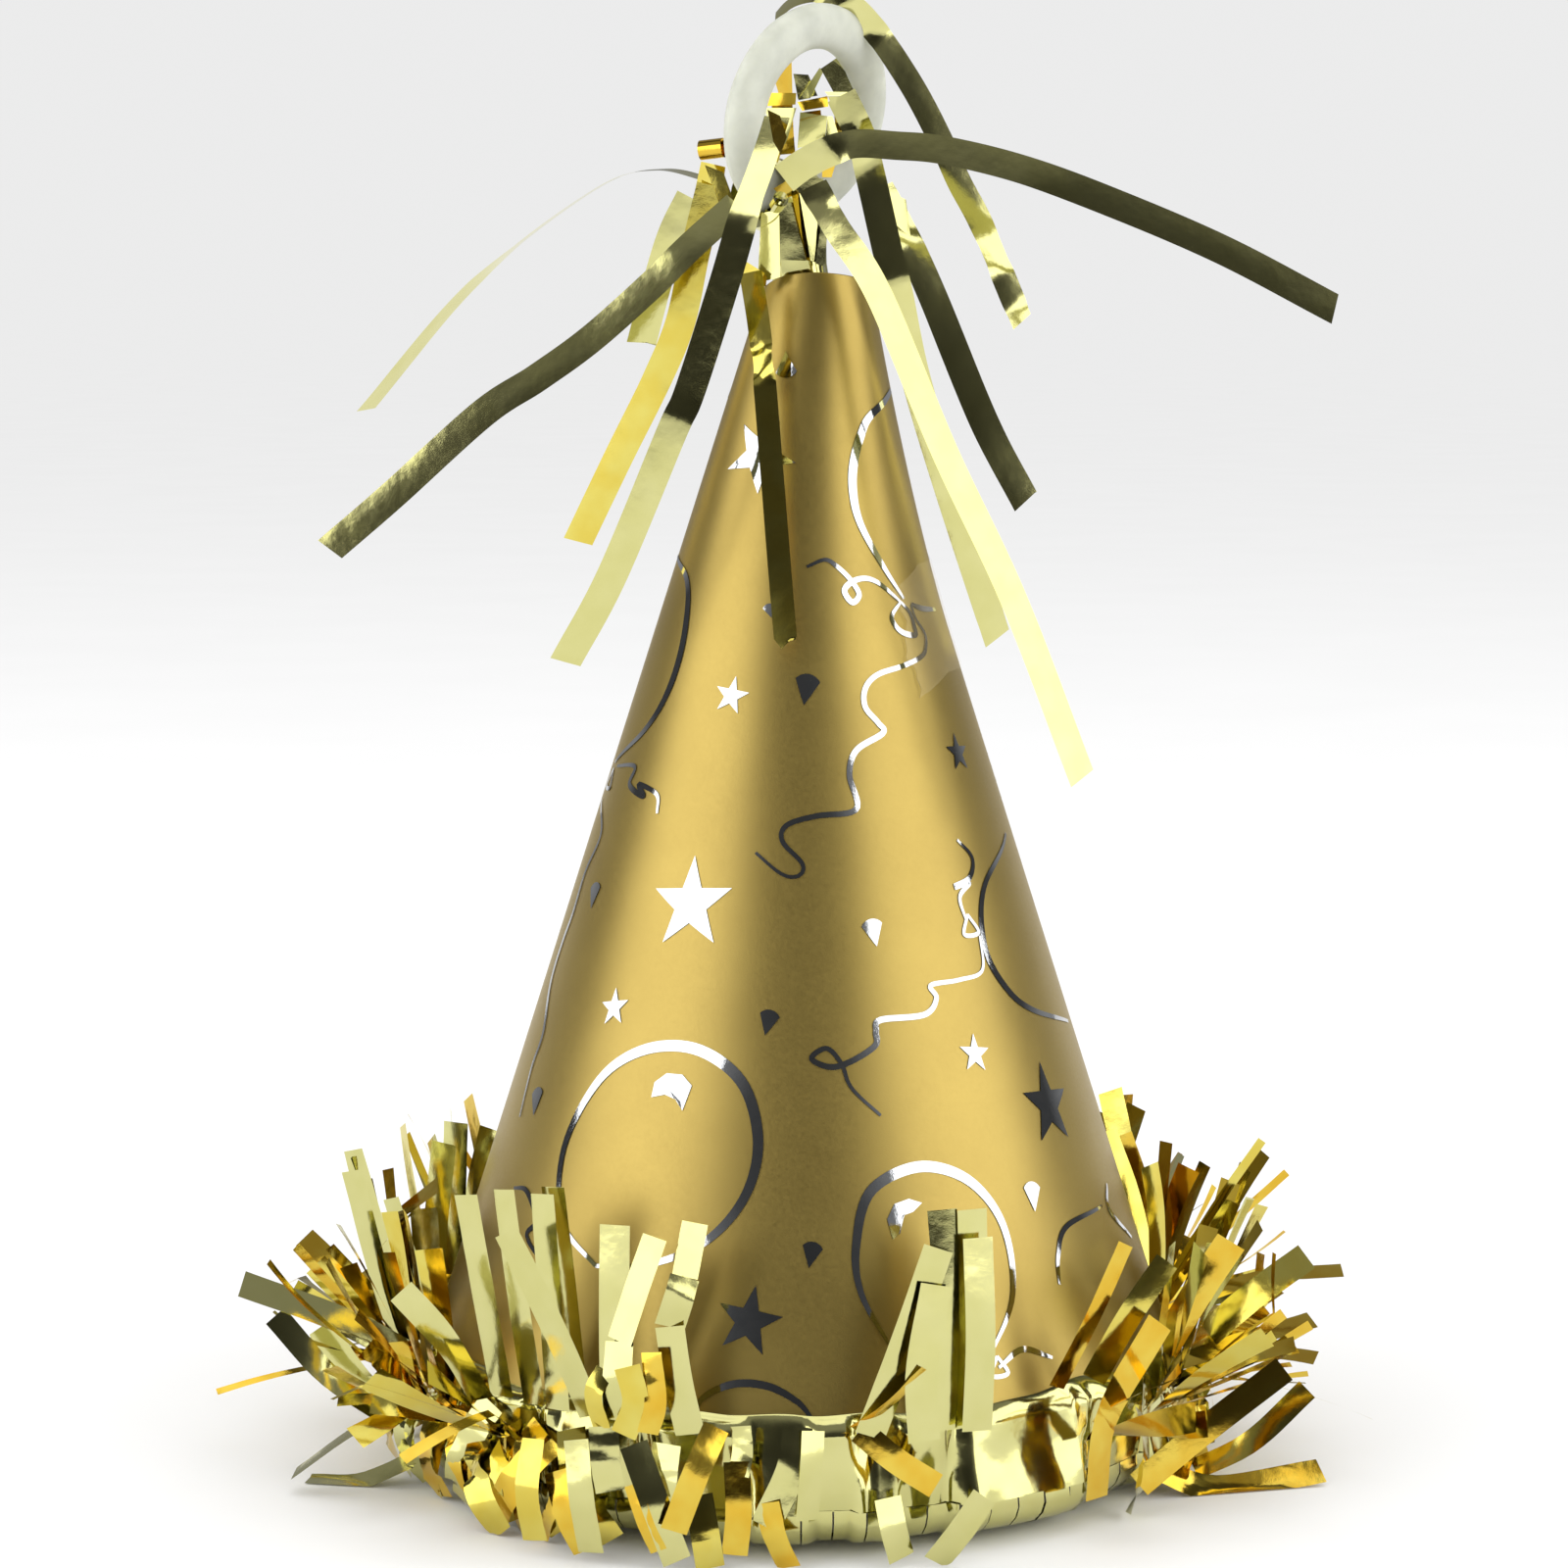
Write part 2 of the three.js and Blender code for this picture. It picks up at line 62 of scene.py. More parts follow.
BAND_FOLD_Z = 4.9
LIP_Z = 14.5
NECK_BOTTOM_Z = 118.3
NECK_TOP_Z = 135.4
RING_RADIUS = 9.3
RING_HALF_RADIAL = 2.4
RING_HALF_AXIAL = 1.8
COLLAR_STAND = 0.55
RING_FOOT = Vector((-2.4, 0.0, 135.9))
RING_LEAN = radians(19)
RING_TURN = radians(49)


# ---- Geometry helpers ----


def smoothstep(x, low, high):
    t = min(1.0, max(0.0, (x - low) / (high - low)))
    return t * t * (3 - 2 * t)


def lerp(a, b, t):
    return a + (b - a) * t


def polar(radius, degrees, z):
    angle = radians(degrees)
    return Vector((radius * cos(angle), radius * sin(angle), z))


def wave(x, y, z):
    return noise.noise(Vector((x, y, z)))


def toward(yaw, pitch=0.0):
    """A direction: yaw 0 looks to the front and turns to the right, pitch turns it up."""
    a, e = radians(yaw), radians(pitch)
    return Vector((sin(a) * cos(e), -cos(a) * cos(e), sin(e)))


def curve_point(points, t):
    """A point on a smooth curve through the points, with t from 0 to 1."""
    last = len(points) - 1
    i = min(int(t * last), last - 1)
    f = t * last - i
    p1, p2 = points[i], points[i + 1]
    p0 = points[i - 1] if i > 0 else 2 * p1 - p2
    p3 = points[i + 2] if i + 2 <= last else 2 * p2 - p1
    a = 2 * p1
    b = (p2 - p0) * f
    c = (2 * p0 - 5 * p1 + 4 * p2 - p3) * f * f
    d = (3 * p1 - p0 - 3 * p2 + p3) * f ** 3
    return (a + b + c + d) * 0.5


def even_path(points, steps):
    """The smooth curve through the points, cut into equal lengths."""
    fine = [curve_point(points, i / 240) for i in range(241)]
    reach = [0.0]
    for a, b in zip(fine, fine[1:]):
        reach.append(reach[-1] + (b - a).length)
    path = []
    spot = 0
    for i in range(steps + 1):
        want = reach[-1] * i / steps
        while spot < 239 and reach[spot + 1] < want:
            spot += 1
        span = max(1e-9, reach[spot + 1] - reach[spot])
        path.append(fine[spot].lerp(fine[spot + 1], min(1.0, (want - reach[spot]) / span)))
    return path


def blend_stops(stops, t):
    """The value at t of a list of (t, value) stops."""
    if t <= stops[0][0]:
        return stops[0][1]
    for (t0, a), (t1, b) in zip(stops, stops[1:]):
        if t <= t1:
            return lerp(a, b, (t - t0) / (t1 - t0))
    return stops[-1][1]


def add_object(name, data):
    thing = bpy.data.objects.new(name, data)
    bpy.context.scene.collection.objects.link(thing)
    return thing


class Sheets:
    """Grids of points that become one mesh."""

    def __init__(self):
        self.points = []
        self.faces = []

    def grid(self, rows, closed=False, skip=None):
        start = len(self.points)
        width = len(rows[0])
        for row in rows:
            self.points.extend(row)
        for i in range(len(rows) - (0 if closed else 1)):
            here = start + i * width
            there = start + ((i + 1) % len(rows)) * width
            for j in range(width - 1):
                if skip is None or not skip(i, j):
                    self.faces.append((here + j, here + j + 1, there + j + 1, there + j))

    def fan(self, centre, rings):
        start = len(self.points)
        self.points.append(centre)
        size = len(rings[0])
        for ring in rings:
            self.points.extend(ring)
        for j in range(size):
            self.faces.append((start, start + 1 + j, start + 1 + (j + 1) % size))
        for i in range(len(rings) - 1):
            a = start + 1 + i * size
            b = a + size
            for j in range(size):
                k = (j + 1) % size
                self.faces.append((a + j, b + j, b + k, a + k))

    def build(self, name, material, body="hat", slot="gold_foil", replaces=(), thickness=0.0):
        mesh = bpy.data.meshes.new(name)
        mesh.from_pydata([p * MM for p in self.points], [], self.faces)
        mesh.polygons.foreach_set("use_smooth", [True] * len(mesh.polygons))
        mesh.materials.append(material)
        mesh.update()
        piece = add_object(name, mesh)
        if thickness:
            solid = piece.modifiers.new("thickness", "SOLIDIFY")
            solid.thickness = thickness * MM
            solid.offset = -1
        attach(piece, body)
        if replaces:
            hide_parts(*replaces)
        return piece


def build_sheet(rows, name, material, closed=False, **options):
    """A mesh of a single grid."""
    sheets = Sheets()
    sheets.grid(rows, closed=closed)
    sheets.build(name, material, **options)


def ribbon(sheets, route, faces, width, steps, seed, crinkle=0.04, cut=0.0, point=0.0):
    """A foil strip along a route. faces lists (t, yaw, pitch) for the way that its front looks. cut
    slants its end and point narrows it."""
    path = even_path([Vector(p) for p in route], steps)
    yaws = [(t, yaw) for t, yaw, _ in faces]
    pitches = [(t, pitch) for t, _, pitch in faces]
    rows = []
    for i, centre in enumerate(path):
        t = i / steps
        along = (path[min(i + 1, steps)] - path[max(i - 1, 0)]).normalized()
        face = toward(blend_stops(yaws, t), blend_stops(pitches, t))
        face = (face - along * face.dot(along)).normalized()
        across = along.cross(face)
        narrow = 1.0 - point * smoothstep(t, 1 - TAPER, 1)
        row = []
        for k in range(5):
            s = k / 2 - 1
            ripple = wave(t * 7 + seed, s * 0.6, seed * 1.7)
            spot = centre + across * (s * width / 2 * narrow)
            spot += face * (CUP * (1 - s * s) + crinkle * ripple)
            spot.z = max(spot.z, FLOOR_GAP)
            if i == steps:
                spot = spot + along * (cut * s)
            row.append(spot)
        rows.append(row)
    sheets.grid(rows)


# ---- Materials ----


class Look:
    """A node material whose shader is driven by noise measured in millimetres."""

    def __init__(self, name, **values):
        self.material = bpy.data.materials.new(name)
        self.material.use_nodes = True
        self.tree = self.material.node_tree
        self.link = self.tree.links.new
        self.shader = self.tree.nodes["Principled BSDF"]
        for key, value in values.items():
            self.shader.inputs[key.replace("_", " ")].default_value = value
        coords = self.add("TexCoord")
        scale = self.add("Mapping")
        scale.inputs["Scale"].default_value = (1 / MM, 1 / MM, 1 / MM)
        self.link(coords.outputs["Object"], scale.inputs["Vector"])
        self.place = scale.outputs["Vector"]
        self.height = None

    def add(self, kind):
        return self.tree.nodes.new("ShaderNode" + kind)

    def noise(self, size, detail=2.0, rough=0.5):
        node = self.add("TexNoise")
        node.inputs["Scale"].default_value = 1 / size
        node.inputs["Detail"].default_value = detail
        node.inputs["Roughness"].default_value = rough
        self.link(self.place, node.inputs["Vector"])
        return node.outputs["Fac"]

    def colour(self, source, low, high, edge=0.3):
        """The base colour runs from low to high as the source goes from edge to 1 - edge."""
        node = self.add("ValToRGB")
        for element, place, shade in zip(node.color_ramp.elements, (edge, 1 - edge), (low, high)):
            element.position, element.color = place, (*shade, 1)
        self.link(source, node.inputs["Fac"])
        self.link(node.outputs["Color"], self.shader.inputs["Base Color"])
        return self

    def rough(self, source, low, high):
        node = self.add("MapRange")
        ends = {"From Min": 0.3, "From Max": 0.7, "To Min": low, "To Max": high}
        for socket, value in ends.items():
            node.inputs[socket].default_value = value
        self.link(source, node.inputs["Value"])
        self.link(node.outputs["Result"], self.shader.inputs["Roughness"])
        return self

    def bump(self, source, depth):
        node = self.add("Bump")
        node.inputs["Strength"].default_value = 1.0
        node.inputs["Distance"].default_value = depth * MM
        self.link(source, node.inputs["Height"])
        if self.height is not None:
            self.link(self.height, node.inputs["Normal"])
        self.height = node.outputs["Normal"]
        self.link(self.height, self.shader.inputs["Normal"])
        return self


def card_look():
    look = Look("satin gold card", Metallic=0.92)
    look.colour(look.noise(9, 3), (0.405, 0.294, 0.079), (0.44, 0.322, 0.087))
    look.rough(look.noise(0.35, 3, 0.7), 0.35, 0.43)
    return look.bump(look.noise(0.16, 2, 0.8), 0.006).bump(look.noise(14, 1), 0.05).material


def foil_look(name, pale, deep, rough):
    look = Look(name, Metallic=1.0)
    look.colour(look.noise(4, 2), pale, deep, edge=0.35)
    look.rough(look.noise(0.3, 3, 0.7), rough * 0.8, rough * 1.25)
    return look.bump(look.noise(0.2, 2, 0.8), 0.004).bump(look.noise(2.6, 2), 0.04).material


def silver_look():
    look = Look("hot stamped silver", Metallic=1.0)
    look.colour(look.noise(1.2, 3), (0.54, 0.56, 0.58), (0.62, 0.63, 0.64))
    look.rough(look.noise(0.5, 3), 0.02, 0.06)
    return look.bump(look.noise(0.25, 2, 0.8), 0.003).material


def frosted_look():
    soft = {"Subsurface_Weight": 0.7, "Subsurface_Radius": (1.0, 1.0, 0.85), "Subsurface_Scale": 2.5 * MM}
    look = Look("frosted plastic", Metallic=0.0, IOR=1.5, **soft)
    look.colour(look.noise(3, 3), (0.42, 0.43, 0.37), (0.52, 0.53, 0.46))
    look.rough(look.noise(1.5, 2), 0.38, 0.55)
    return look.bump(look.noise(0.7, 3, 0.7), 0.02).material


def tape_look():
    look = Look("clear tape", Metallic=0.0, IOR=1.46, Alpha=0.1)
    look.colour(look.noise(5, 2), (0.75, 0.62, 0.35), (0.85, 0.74, 0.46))
    look.rough(look.noise(2, 2), 0.12, 0.25)
    return look.bump(look.noise(3, 2), 0.03).material


def plain_look(name, low, high, rough, size, depth):
    look = Look(name, Metallic=0.0)
    look.colour(look.noise(size * 4, 3), low, high)
    look.rough(look.noise(size, 3), rough * 0.9, min(1.0, rough * 1.1))
    return look.bump(look.noise(size, 4, 0.7), depth).material


CARD_GOLD = card_look()
# Dark brown of the thin line along the tape's torn end.
TAPE_EDGE_LINE = plain_look("dark line at tape edge", (0.12, 0.08, 0.03), (0.2, 0.14, 0.05), 0.8, 0.5, 0.01)
PALE = foil_look("pale gold foil", (0.615, 0.59, 0.255), (0.585, 0.56, 0.225), 0.11)
# The next two are copies of the one gold foil, tinted warmer and deeper: painted bounce light, the saturated
# colour that light takes between gold strips.
WARM_PAINTED_BOUNCE = foil_look("gold foil with warm painted bounce light", (0.66, 0.57, 0.13), (0.64, 0.51, 0.085), 0.1)
DEEP_PAINTED_BOUNCE = foil_look("gold foil with deep painted bounce light", (0.72, 0.53, 0.08), (0.68, 0.43, 0.042), 0.1)
SILVER = silver_look()
FROSTED = frosted_look()
TAPE = tape_look()


# ---- Card cone ----


def cone_radius(z, degrees):
    straight = CONE_RADIUS - CONE_SLOPE * (z - RIM_Z)
    rise = max(0.0, (z - FLARE_FROM_Z) / (TIP_Z - FLARE_FROM_Z))
    side = 0.5 + 0.5 * cos(radians(degrees))
    return straight + FLARE_REACH * rise ** 1.6 * side ** 1.5


def lap_lift(turned):
    return LAP_LIFT * (1 - smoothstep(turned, 16, 56))


def on_cone(degrees, z, lift):
    """A point over the card. Its angle is counted from the front, to the right."""
    azimuth = degrees - 90
    turned = (LAP_START - azimuth) % 360
    return polar(cone_radius(z, azimuth) + lap_lift(turned) + lift, azimuth, z)


def make_cone():
    rows = []
    for i in range(189):
        turned = i * 2.0
        azimuth = LAP_START - turned
        top = TIP_Z + TIP_RISE * max(0.0, cos(radians(azimuth - TIP_RISE_AT)))
        heights = [lerp(CONE_BOTTOM_Z, top, j / 56) for j in range(57)]
        heights[1:1] = [CONE_BOTTOM_Z + EDGE]
        heights[-1:-1] = [top - EDGE]
        rows.append([polar(cone_radius(z, azimuth) + lap_lift(turned), azimuth, z) for z in heights])
    build_sheet(rows, "card_cone", CARD_GOLD, slot="satin_gold_card", replaces=["cone_shell"], thickness=CARD)


make_cone()


# ---- Silver stamping ----

STAMP_LIFT = 0.1


class Stamping(Sheets):
    """Flat shapes laid on the card. Shapes are (degrees from the front, z)."""

    def __init__(self, turn):
        super().__init__()
        self.turn = turn

    def place(self, degrees, z):
        return on_cone(degrees + self.turn, z, STAMP_LIFT)

    def spread(self, centre, outline):
        """A filled shape round a centre, with its outline in millimetres on the surface."""
        degrees, z = centre
        around = in_degrees(1 / cone_radius(z, degrees + self.turn - 90))
        edge = []
        for (x0, y0), (x1, y1) in zip(outline, outline[1:] + outline[:1]):
            edge.extend((lerp(x0, x1, step / 4), lerp(y0, y1, step / 4)) for step in range(4))
        rings = []
        for share in (0.25, 0.5, 0.75, 1.0):
            rings.append([self.place(degrees + x * share * around, z + y * share) for x, y in edge])
        self.fan(self.place(degrees, z), rings)

    def stroke(self, points, thin, thick):
        """A pen stroke, thin at its ends and thick at its middle."""
        steps = max(14, 7 * len(points))
        knots = [Vector((a, z, 0)) for a, z in points]
        degrees = [curve_point(knots, i / steps) for i in range(steps + 1)]
        rows = []
        for i, spot in enumerate(degrees):
            ahead, behind = degrees[min(i + 1, steps)], degrees[max(i - 1, 0)]
            arc = radians(1) * cone_radius(spot.y, spot.x + self.turn - 90)
            run = Vector(((ahead.x - behind.x) * arc, ahead.y - behind.y)).normalized()
            half = lerp(thin, thick, sin(pi * i / steps)) / 2
            row = []
            for side in (-half, 0, half):
                row.append(self.place(spot.x - run.y * side / arc, spot.y + run.x * side))
            rows.append(row)
        edge = LAP_START + 90 - self.turn
        self.grid(rows, skip=lambda i, j: (degrees[i].x - edge) * (degrees[i + 1].x - edge) < 0)


def star_outline(radius, spin):
    outline = []
    for i in range(10):
        reach = radius if i % 2 == 0 else radius * 0.4
        angle = radians(90 + spin + 36 * i)
        outline.append((reach * cos(angle), reach * sin(angle)))
    return outline


def wedge_outline(size, spin):
    """A scrap of confetti: an arc on one side and a point on the other."""
    outline = [(0.0, -size * 0.62)]
    for i in range(9):
        angle = radians(30 + 15 * i)
        outline.append((size * 0.5 * cos(angle), size * 0.45 * sin(angle)))
    turn = Matrix.Rotation(radians(spin), 2)
    return [tuple(turn @ Vector(p)) for p in outline]


STARS = [  # degrees, z, radius, spin
    (-26.5, 109.1, 4.1, -30), (-24.3, 84.4, 2, -8), (-28, 63.4, 4.8, 4), (-44.3, 52.3, 2, 10),
    (58.4, 77.8, 2.1, -4), (38.3, 48, 2, -8), (56.8, 41.5, 4.4, -6), (-8.2, 23.3, 3.5, -10),
]
SCRAPS = [  # degrees, z, size, spin
    (-12.1, 118.2, 2.6, 185), (2.2, 85.4, 3, -10), (-63.7, 62.9, 2.6, 10), (-63.5, 41.4, 2.8, 15),
    (-6.8, 52.3, 2.4, -12), (17.4, 61, 2.6, 8), (1.8, 29.9, 2.4, -12), (45.5, 33.4, 2.8, -8),
    (-12.8, 93.2, 1.4, 20),
]
BALLOONS = [  # points, thinnest width, thickest width
    ([(88.4, 115.3), (88.4, 115.4), (52.4, 113.2), (39.5, 110.9), (31.6, 107.9), (29.2, 104.9),
      (31.2, 101.8), (40.4, 97.4), (48.9, 94)], 0.35, 1),
    ([(-85, 98), (-60.7, 95.9), (-52, 91), (-52.3, 84.9), (-61, 80), (-80, 76)], 0.35, 0.9),
    ([(-36, 27.1), (-46, 31), (-49.5, 38), (-44, 45), (-34, 48.6), (-22, 49.2), (-12, 46.4), (-8, 41),
      (-9.6, 35.5), (-16, 30.8), (-25.8, 28), (-36, 27.1)], 0.4, 1.15),
    ([(29.9, 18.7), (36.4, 24.3), (37.1, 31), (31.6, 35.8), (22, 37.7), (12.5, 35.7), (9.3, 30.6),
      (9.7, 25.9), (14, 20.5)], 0.3, 1.1),
    ([(77.8, 68.5), (55, 64.5), (48.4, 58.8), (51.9, 54.1), (61, 50.9), (82.8, 47.9)], 0.35, 0.8),
    ([(-15.6, 14.2), (-14.4, 15.9), (-10, 17.3), (-4.9, 17.2), (-0.6, 15.8), (1.6, 14.2)], 0.35, 0.75),
]
RIBBONS = [
    [(46.3, 93.7), (41.7, 94.7), (35.8, 95.8), (29.5, 96.3), (23, 96), (19, 95.1), (22, 93.9),
     (25.5, 94.7), (22.3, 96.2), (16.6, 97.6), (11.2, 98.3), (2.9, 97.6)],
    [(46.5, 93.7), (40.2, 92.4), (40.9, 91.3), (44.5, 90.5), (51, 90.2), (51.7, 91.2), (50.9, 92.5),
     (46.5, 93.7)],
    [(53.2, 93.4), (60.2, 92.8), (74.9, 92.4)],
    [(52.9, 93.3), (53.7, 91.9), (57.6, 90.2), (56, 88.9), (52, 88), (40.7, 87.2), (28.9, 86.5),
     (23.2, 85.2), (22.2, 83.3), (26.2, 81.6), (27.4, 80.6), (17.7, 79), (14.7, 76.6), (15.9, 73.1),
     (4.5, 72.5), (-3.7, 71.6), (-4.9, 70), (0.4, 67.8), (-0.4, 66.6), (-4.7, 66.7), (-11.9, 68.8)],
    [(-75, 75.8), (-60.8, 76.3), (-60.9, 74.4), (-51.8, 73.5), (-55.8, 74.6), (-46.3, 73.9), (-44.3, 72)],
    [(-83, 71.9), (-71, 68.9), (-74.7, 64.5), (-74.5, 60.3), (-76, 57), (-75.7, 53), (-70, 48),
     (-70.6, 44), (-69, 39)],
    [(47.4, 59.4), (45.6, 56), (38, 55.4), (30.1, 55.2), (31, 53.9), (27.5, 52.4), (17.2, 52.2), (15.9, 51.1),
     (15.2, 49.6), (7.2, 47.8), (2.2, 48.6), (5.3, 49.6), (8.2, 48.1), (10, 45.7), (15.4, 42.9)],
    [(44, 61), (43.5, 63.5), (48.2, 64.8), (42.5, 64.6), (48.9, 65.3), (51.8, 67.2), (47.4, 69.2)],
    [(31.3, 17.6), (36.3, 18.9), (41.8, 17.5)],
    [(47, 24.2), (48.4, 27), (52.9, 29.5), (66.7, 29.9)],
    [(72.8, 31.5), (70, 29), (78.9, 24.9)],
    [(-48.9, 26.5), (-54, 28.4), (-52.3, 30.1), (-57.6, 32.5), (-62.4, 32.3)],
]
SHINES = [  # the lit window on a balloon: centre, outline in millimetres
    ((-26.5, 45), [(-2, -0.9), (-1.9, 0.6), (-0.6, 1.6), (1.2, 1.6), (2.4, 0.6), (1.7, -1.9), (0.9, -0.9),
                     (-0.5, -0.5)]),
    ((18.2, 33.3), [(-1.5, -2.4), (-1.9, -0.4), (-1, 1), (0.6, 1.4), (2, 0.9), (0.9, 0.1), (-0.3, -0.2),
                    (-0.7, -1.9)]),
]
KNOTS = [(-79, 74.2, 1.2), (-42, 25.9, 1.2), (31.3, 17.6, 1.1), (44.8, 60.5, 1.2)]


def knot_loop(degrees, z, size):
    """The three-cornered knot of a balloon, drawn as a closed loop."""
    around = in_degrees(1 / cone_radius(z, degrees - 90))
    corners = [(0.0, 1.0), (0.9, -0.6), (-0.9, -0.6), (0.0, 1.0)]
    return [(degrees + x * size * around, z + y * size) for x, y in corners]


def make_stamping():
    for label, turn in (("front", 0), ("back", 180)):
        stamping = Stamping(turn)
        for degrees, z, radius, spin in STARS:
            stamping.spread((degrees, z), star_outline(radius, spin))
        for degrees, z, size, spin in SCRAPS:
            stamping.spread((degrees, z), wedge_outline(size, spin))
        for centre, outline in SHINES:
            stamping.spread(centre, outline)
        for points, thin, thick in BALLOONS:
            stamping.stroke(points, thin, thick)
        for points in RIBBONS:
            stamping.stroke(points, 0.3, 0.62)
        for knot in KNOTS:
            stamping.stroke(knot_loop(*knot), 0.35, 0.45)
        stamping.build("silver_stamping_" + label, SILVER, slot="satin_gold_card")


def make_tape():
    """A patch with a torn near end, which a thin dark brown line shows."""
    start, sweep = 44.5, 97.0
    rows = []
    for i in range(61):
        row = []
        for j in range(19):
            torn = (1 - i / 60) * (1.8 * sin(j * 0.63) + 0.9 * sin(j * 1.7))
            spot = start + torn + sweep * i / 60
            z = lerp(83.8, 95.2, j / 18) + min(2.2, (spot - start) * 0.1)
            ripple = 0.08 * wave(i * 0.35, j * 0.5, 4)
            row.append(on_cone(spot, z, 0.22 + ripple))
        rows.append(row)
    build_sheet(rows, "clear_tape_patch", TAPE, slot="clear_tape", replaces=["seam_tape"])
    # A thin dark brown strip along the torn end.
    edge = [[inner, inner.lerp(outer, 0.1)] for inner, outer in zip(rows[0], rows[1])]
    build_sheet(edge, "tape_edge", TAPE_EDGE_LINE, slot="clear_tape")


make_stamping()
make_tape()


# ---- Foot ----

CREASES = [  # degrees from the front, depth, half-width: sharp dents in the wrap
    (-62, 0.7, 3), (-41, 0.5, 2), (-24, 0.9, 2.5), (-8, 0.3, 2), (10, 0.9, 2.5), (22, 0.9, 2.5),
    (47, 0.6, 3), (71, 0.8, 2.5), (96, 0.5, 3), (124, 0.9, 2.5), (151, 0.6, 2), (179, 0.8, 3),
    (204, 0.5, 2), (231, 0.9, 2.5), (262, 0.6, 3), (285, 0.4, 2),
]
TILTS = [  # degrees from the front, how far the facet there looks up
    (-180, 6), (-150, 6), (-149, -6), (-121, -4), (-120, 12), (-96, 10), (-95, -5), (-70, -3), (-69, 11),
    (-52, 12), (-51, -4), (-38, -4), (-37, 12), (-30, 12), (-29, -4), (-24, -4), (-8, -4), (-7, 13), (1, 13),
    (2, -5), (7, -5), (8, 14), (13.5, 14), (14.5, -4), (21.5, -4), (22.5, 14), (26, 14), (27, 9), (44, 12),
    (45, -4), (60, -4), (61, 12), (80, 10), (81, -6), (110, -4), (111, 12), (140, 12), (141, -5), (180, 6),
]


def band_skin(degrees, radius, z, amount):
    """A point of the foil wrap, with its wrinkles, dents and facets."""
    front = (degrees + 90 + 180) % 360 - 180
    radius -= tan(radians(blend_stops(TILTS, front))) * (max(z, BAND_FOLD_Z) - 9)
    broad = wave(degrees * 0.11, z * 0.16, 2.0)
    fine = wave(degrees * 0.4, z * 0.3, 7.0)
    dent = 0.0
    for place, depth, half in CREASES:
        away = abs((degrees + 90 - place + 180) % 360 - 180)
        dent += depth * max(0.0, 1 - away / half)
    return polar(radius + amount * (0.5 * broad + 0.1 * fine - dent), degrees, z)


def lip_radius(degrees, z, stand):
    turned = (LAP_START - degrees) % 360
    return cone_radius(z, degrees) + lap_lift(turned) + stand


def make_band():
    sheets = Sheets()
    rows = []
    for i in range(360):
        lip_z = LIP_Z + 0.8 * noise.noise(polar(5, i, 5))
        row = [
            polar(lip_radius(i, lip_z, 0.15), i, lip_z),
            polar(lip_radius(i, lip_z - 0.3, 0.4), i, lip_z - 0.3),
        ]
        for j in range(11):
            bulge = 0.12 * sin(pi * j / 10)
            row.append(band_skin(i, BAND_RADIUS + bulge, lerp(RIM_Z, BAND_FOLD_Z, j / 10), 1))
        rows.append(row)
    sheets.grid(rows, closed=True)
    tabs, slit = 80, 0.13
    pitch = 360 / tabs
    section = [(0.0, 5.0), (0.1, 3.9), (-0.4, 2.7), (-1.5, 1.6), (-3.3, 0.9), (-5.6, 0.55), (-8.2, 0.45)]
    for tab in range(tabs):
        lift = 0.18 * wave(tab * 1.3, 0, 0)
        rows = []
        for k in range(5):
            degrees = tab * pitch + lerp(slit, pitch - slit, k / 4)
            row = []
            for n, (reach, z) in enumerate(section):
                row.append(band_skin(degrees, BAND_RADIUS + reach + lift * min(1, n), z, 0.5))
            rows.append(row)
        sheets.grid(rows)
    sheets.build("foot_foil_wrap", PALE, replaces=["base_foil_band"])


make_band()


def give_look(node, material):
    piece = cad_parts[node]
    piece.data.materials.clear()
    piece.data.materials.append(material)


PLASTER = plain_look("cast plaster", (0.72, 0.70, 0.64), (0.82, 0.80, 0.75), 0.85, 1.2, 0.06)
BOARD = plain_look("grey board", (0.58, 0.55, 0.48), (0.68, 0.65, 0.58), 0.85, 0.5, 0.02)
GLUE = plain_look("hot glue", (0.74, 0.68, 0.46), (0.82, 0.77, 0.58), 0.4, 1.5, 0.08)
give_look("weight_puck", PLASTER)
give_look("base_disc", BOARD)
give_look("glue_plug", GLUE)


# ---- Fringe ----


def pick(rng, low, high):
    return low + (high - low) * rng.random()


def lay_strand(degrees, radius, root_z, rise, curl, length, lean, twist, width, fold, fold_at, sheets, seed):
    """A fringe strip. It bends from its root to its own rise, and may be folded once."""
    outward = polar(1, degrees, 0)
    sideways = polar(1, degrees + 90, 0)
    spot = polar(radius, degrees, root_z)
    steps = 14
    rows = []
    for i in range(steps + 1):
        t = i / steps
        folded = fold if t > fold_at else 0.0
        wobble = 4 * wave(t * 2.5, seed, 0)
        slope = radians(rise + curl * t + folded + wobble)
        along = outward * cos(slope) + Vector((0, 0, sin(slope))) + sideways * lean
        along.normalize()
        across = (sideways - along * sideways.dot(along)).normalized()
        across = Matrix.Rotation(radians(twist * t), 3, along) @ across
        row = [spot + across * (side * width / 2) for side in (-1, 0, 1)]
        for edge in row:
            edge.z = max(edge.z, FLOOR_GAP)
        rows.append(row)
        spot = spot + along * (length / steps)
    sheets.grid(rows)


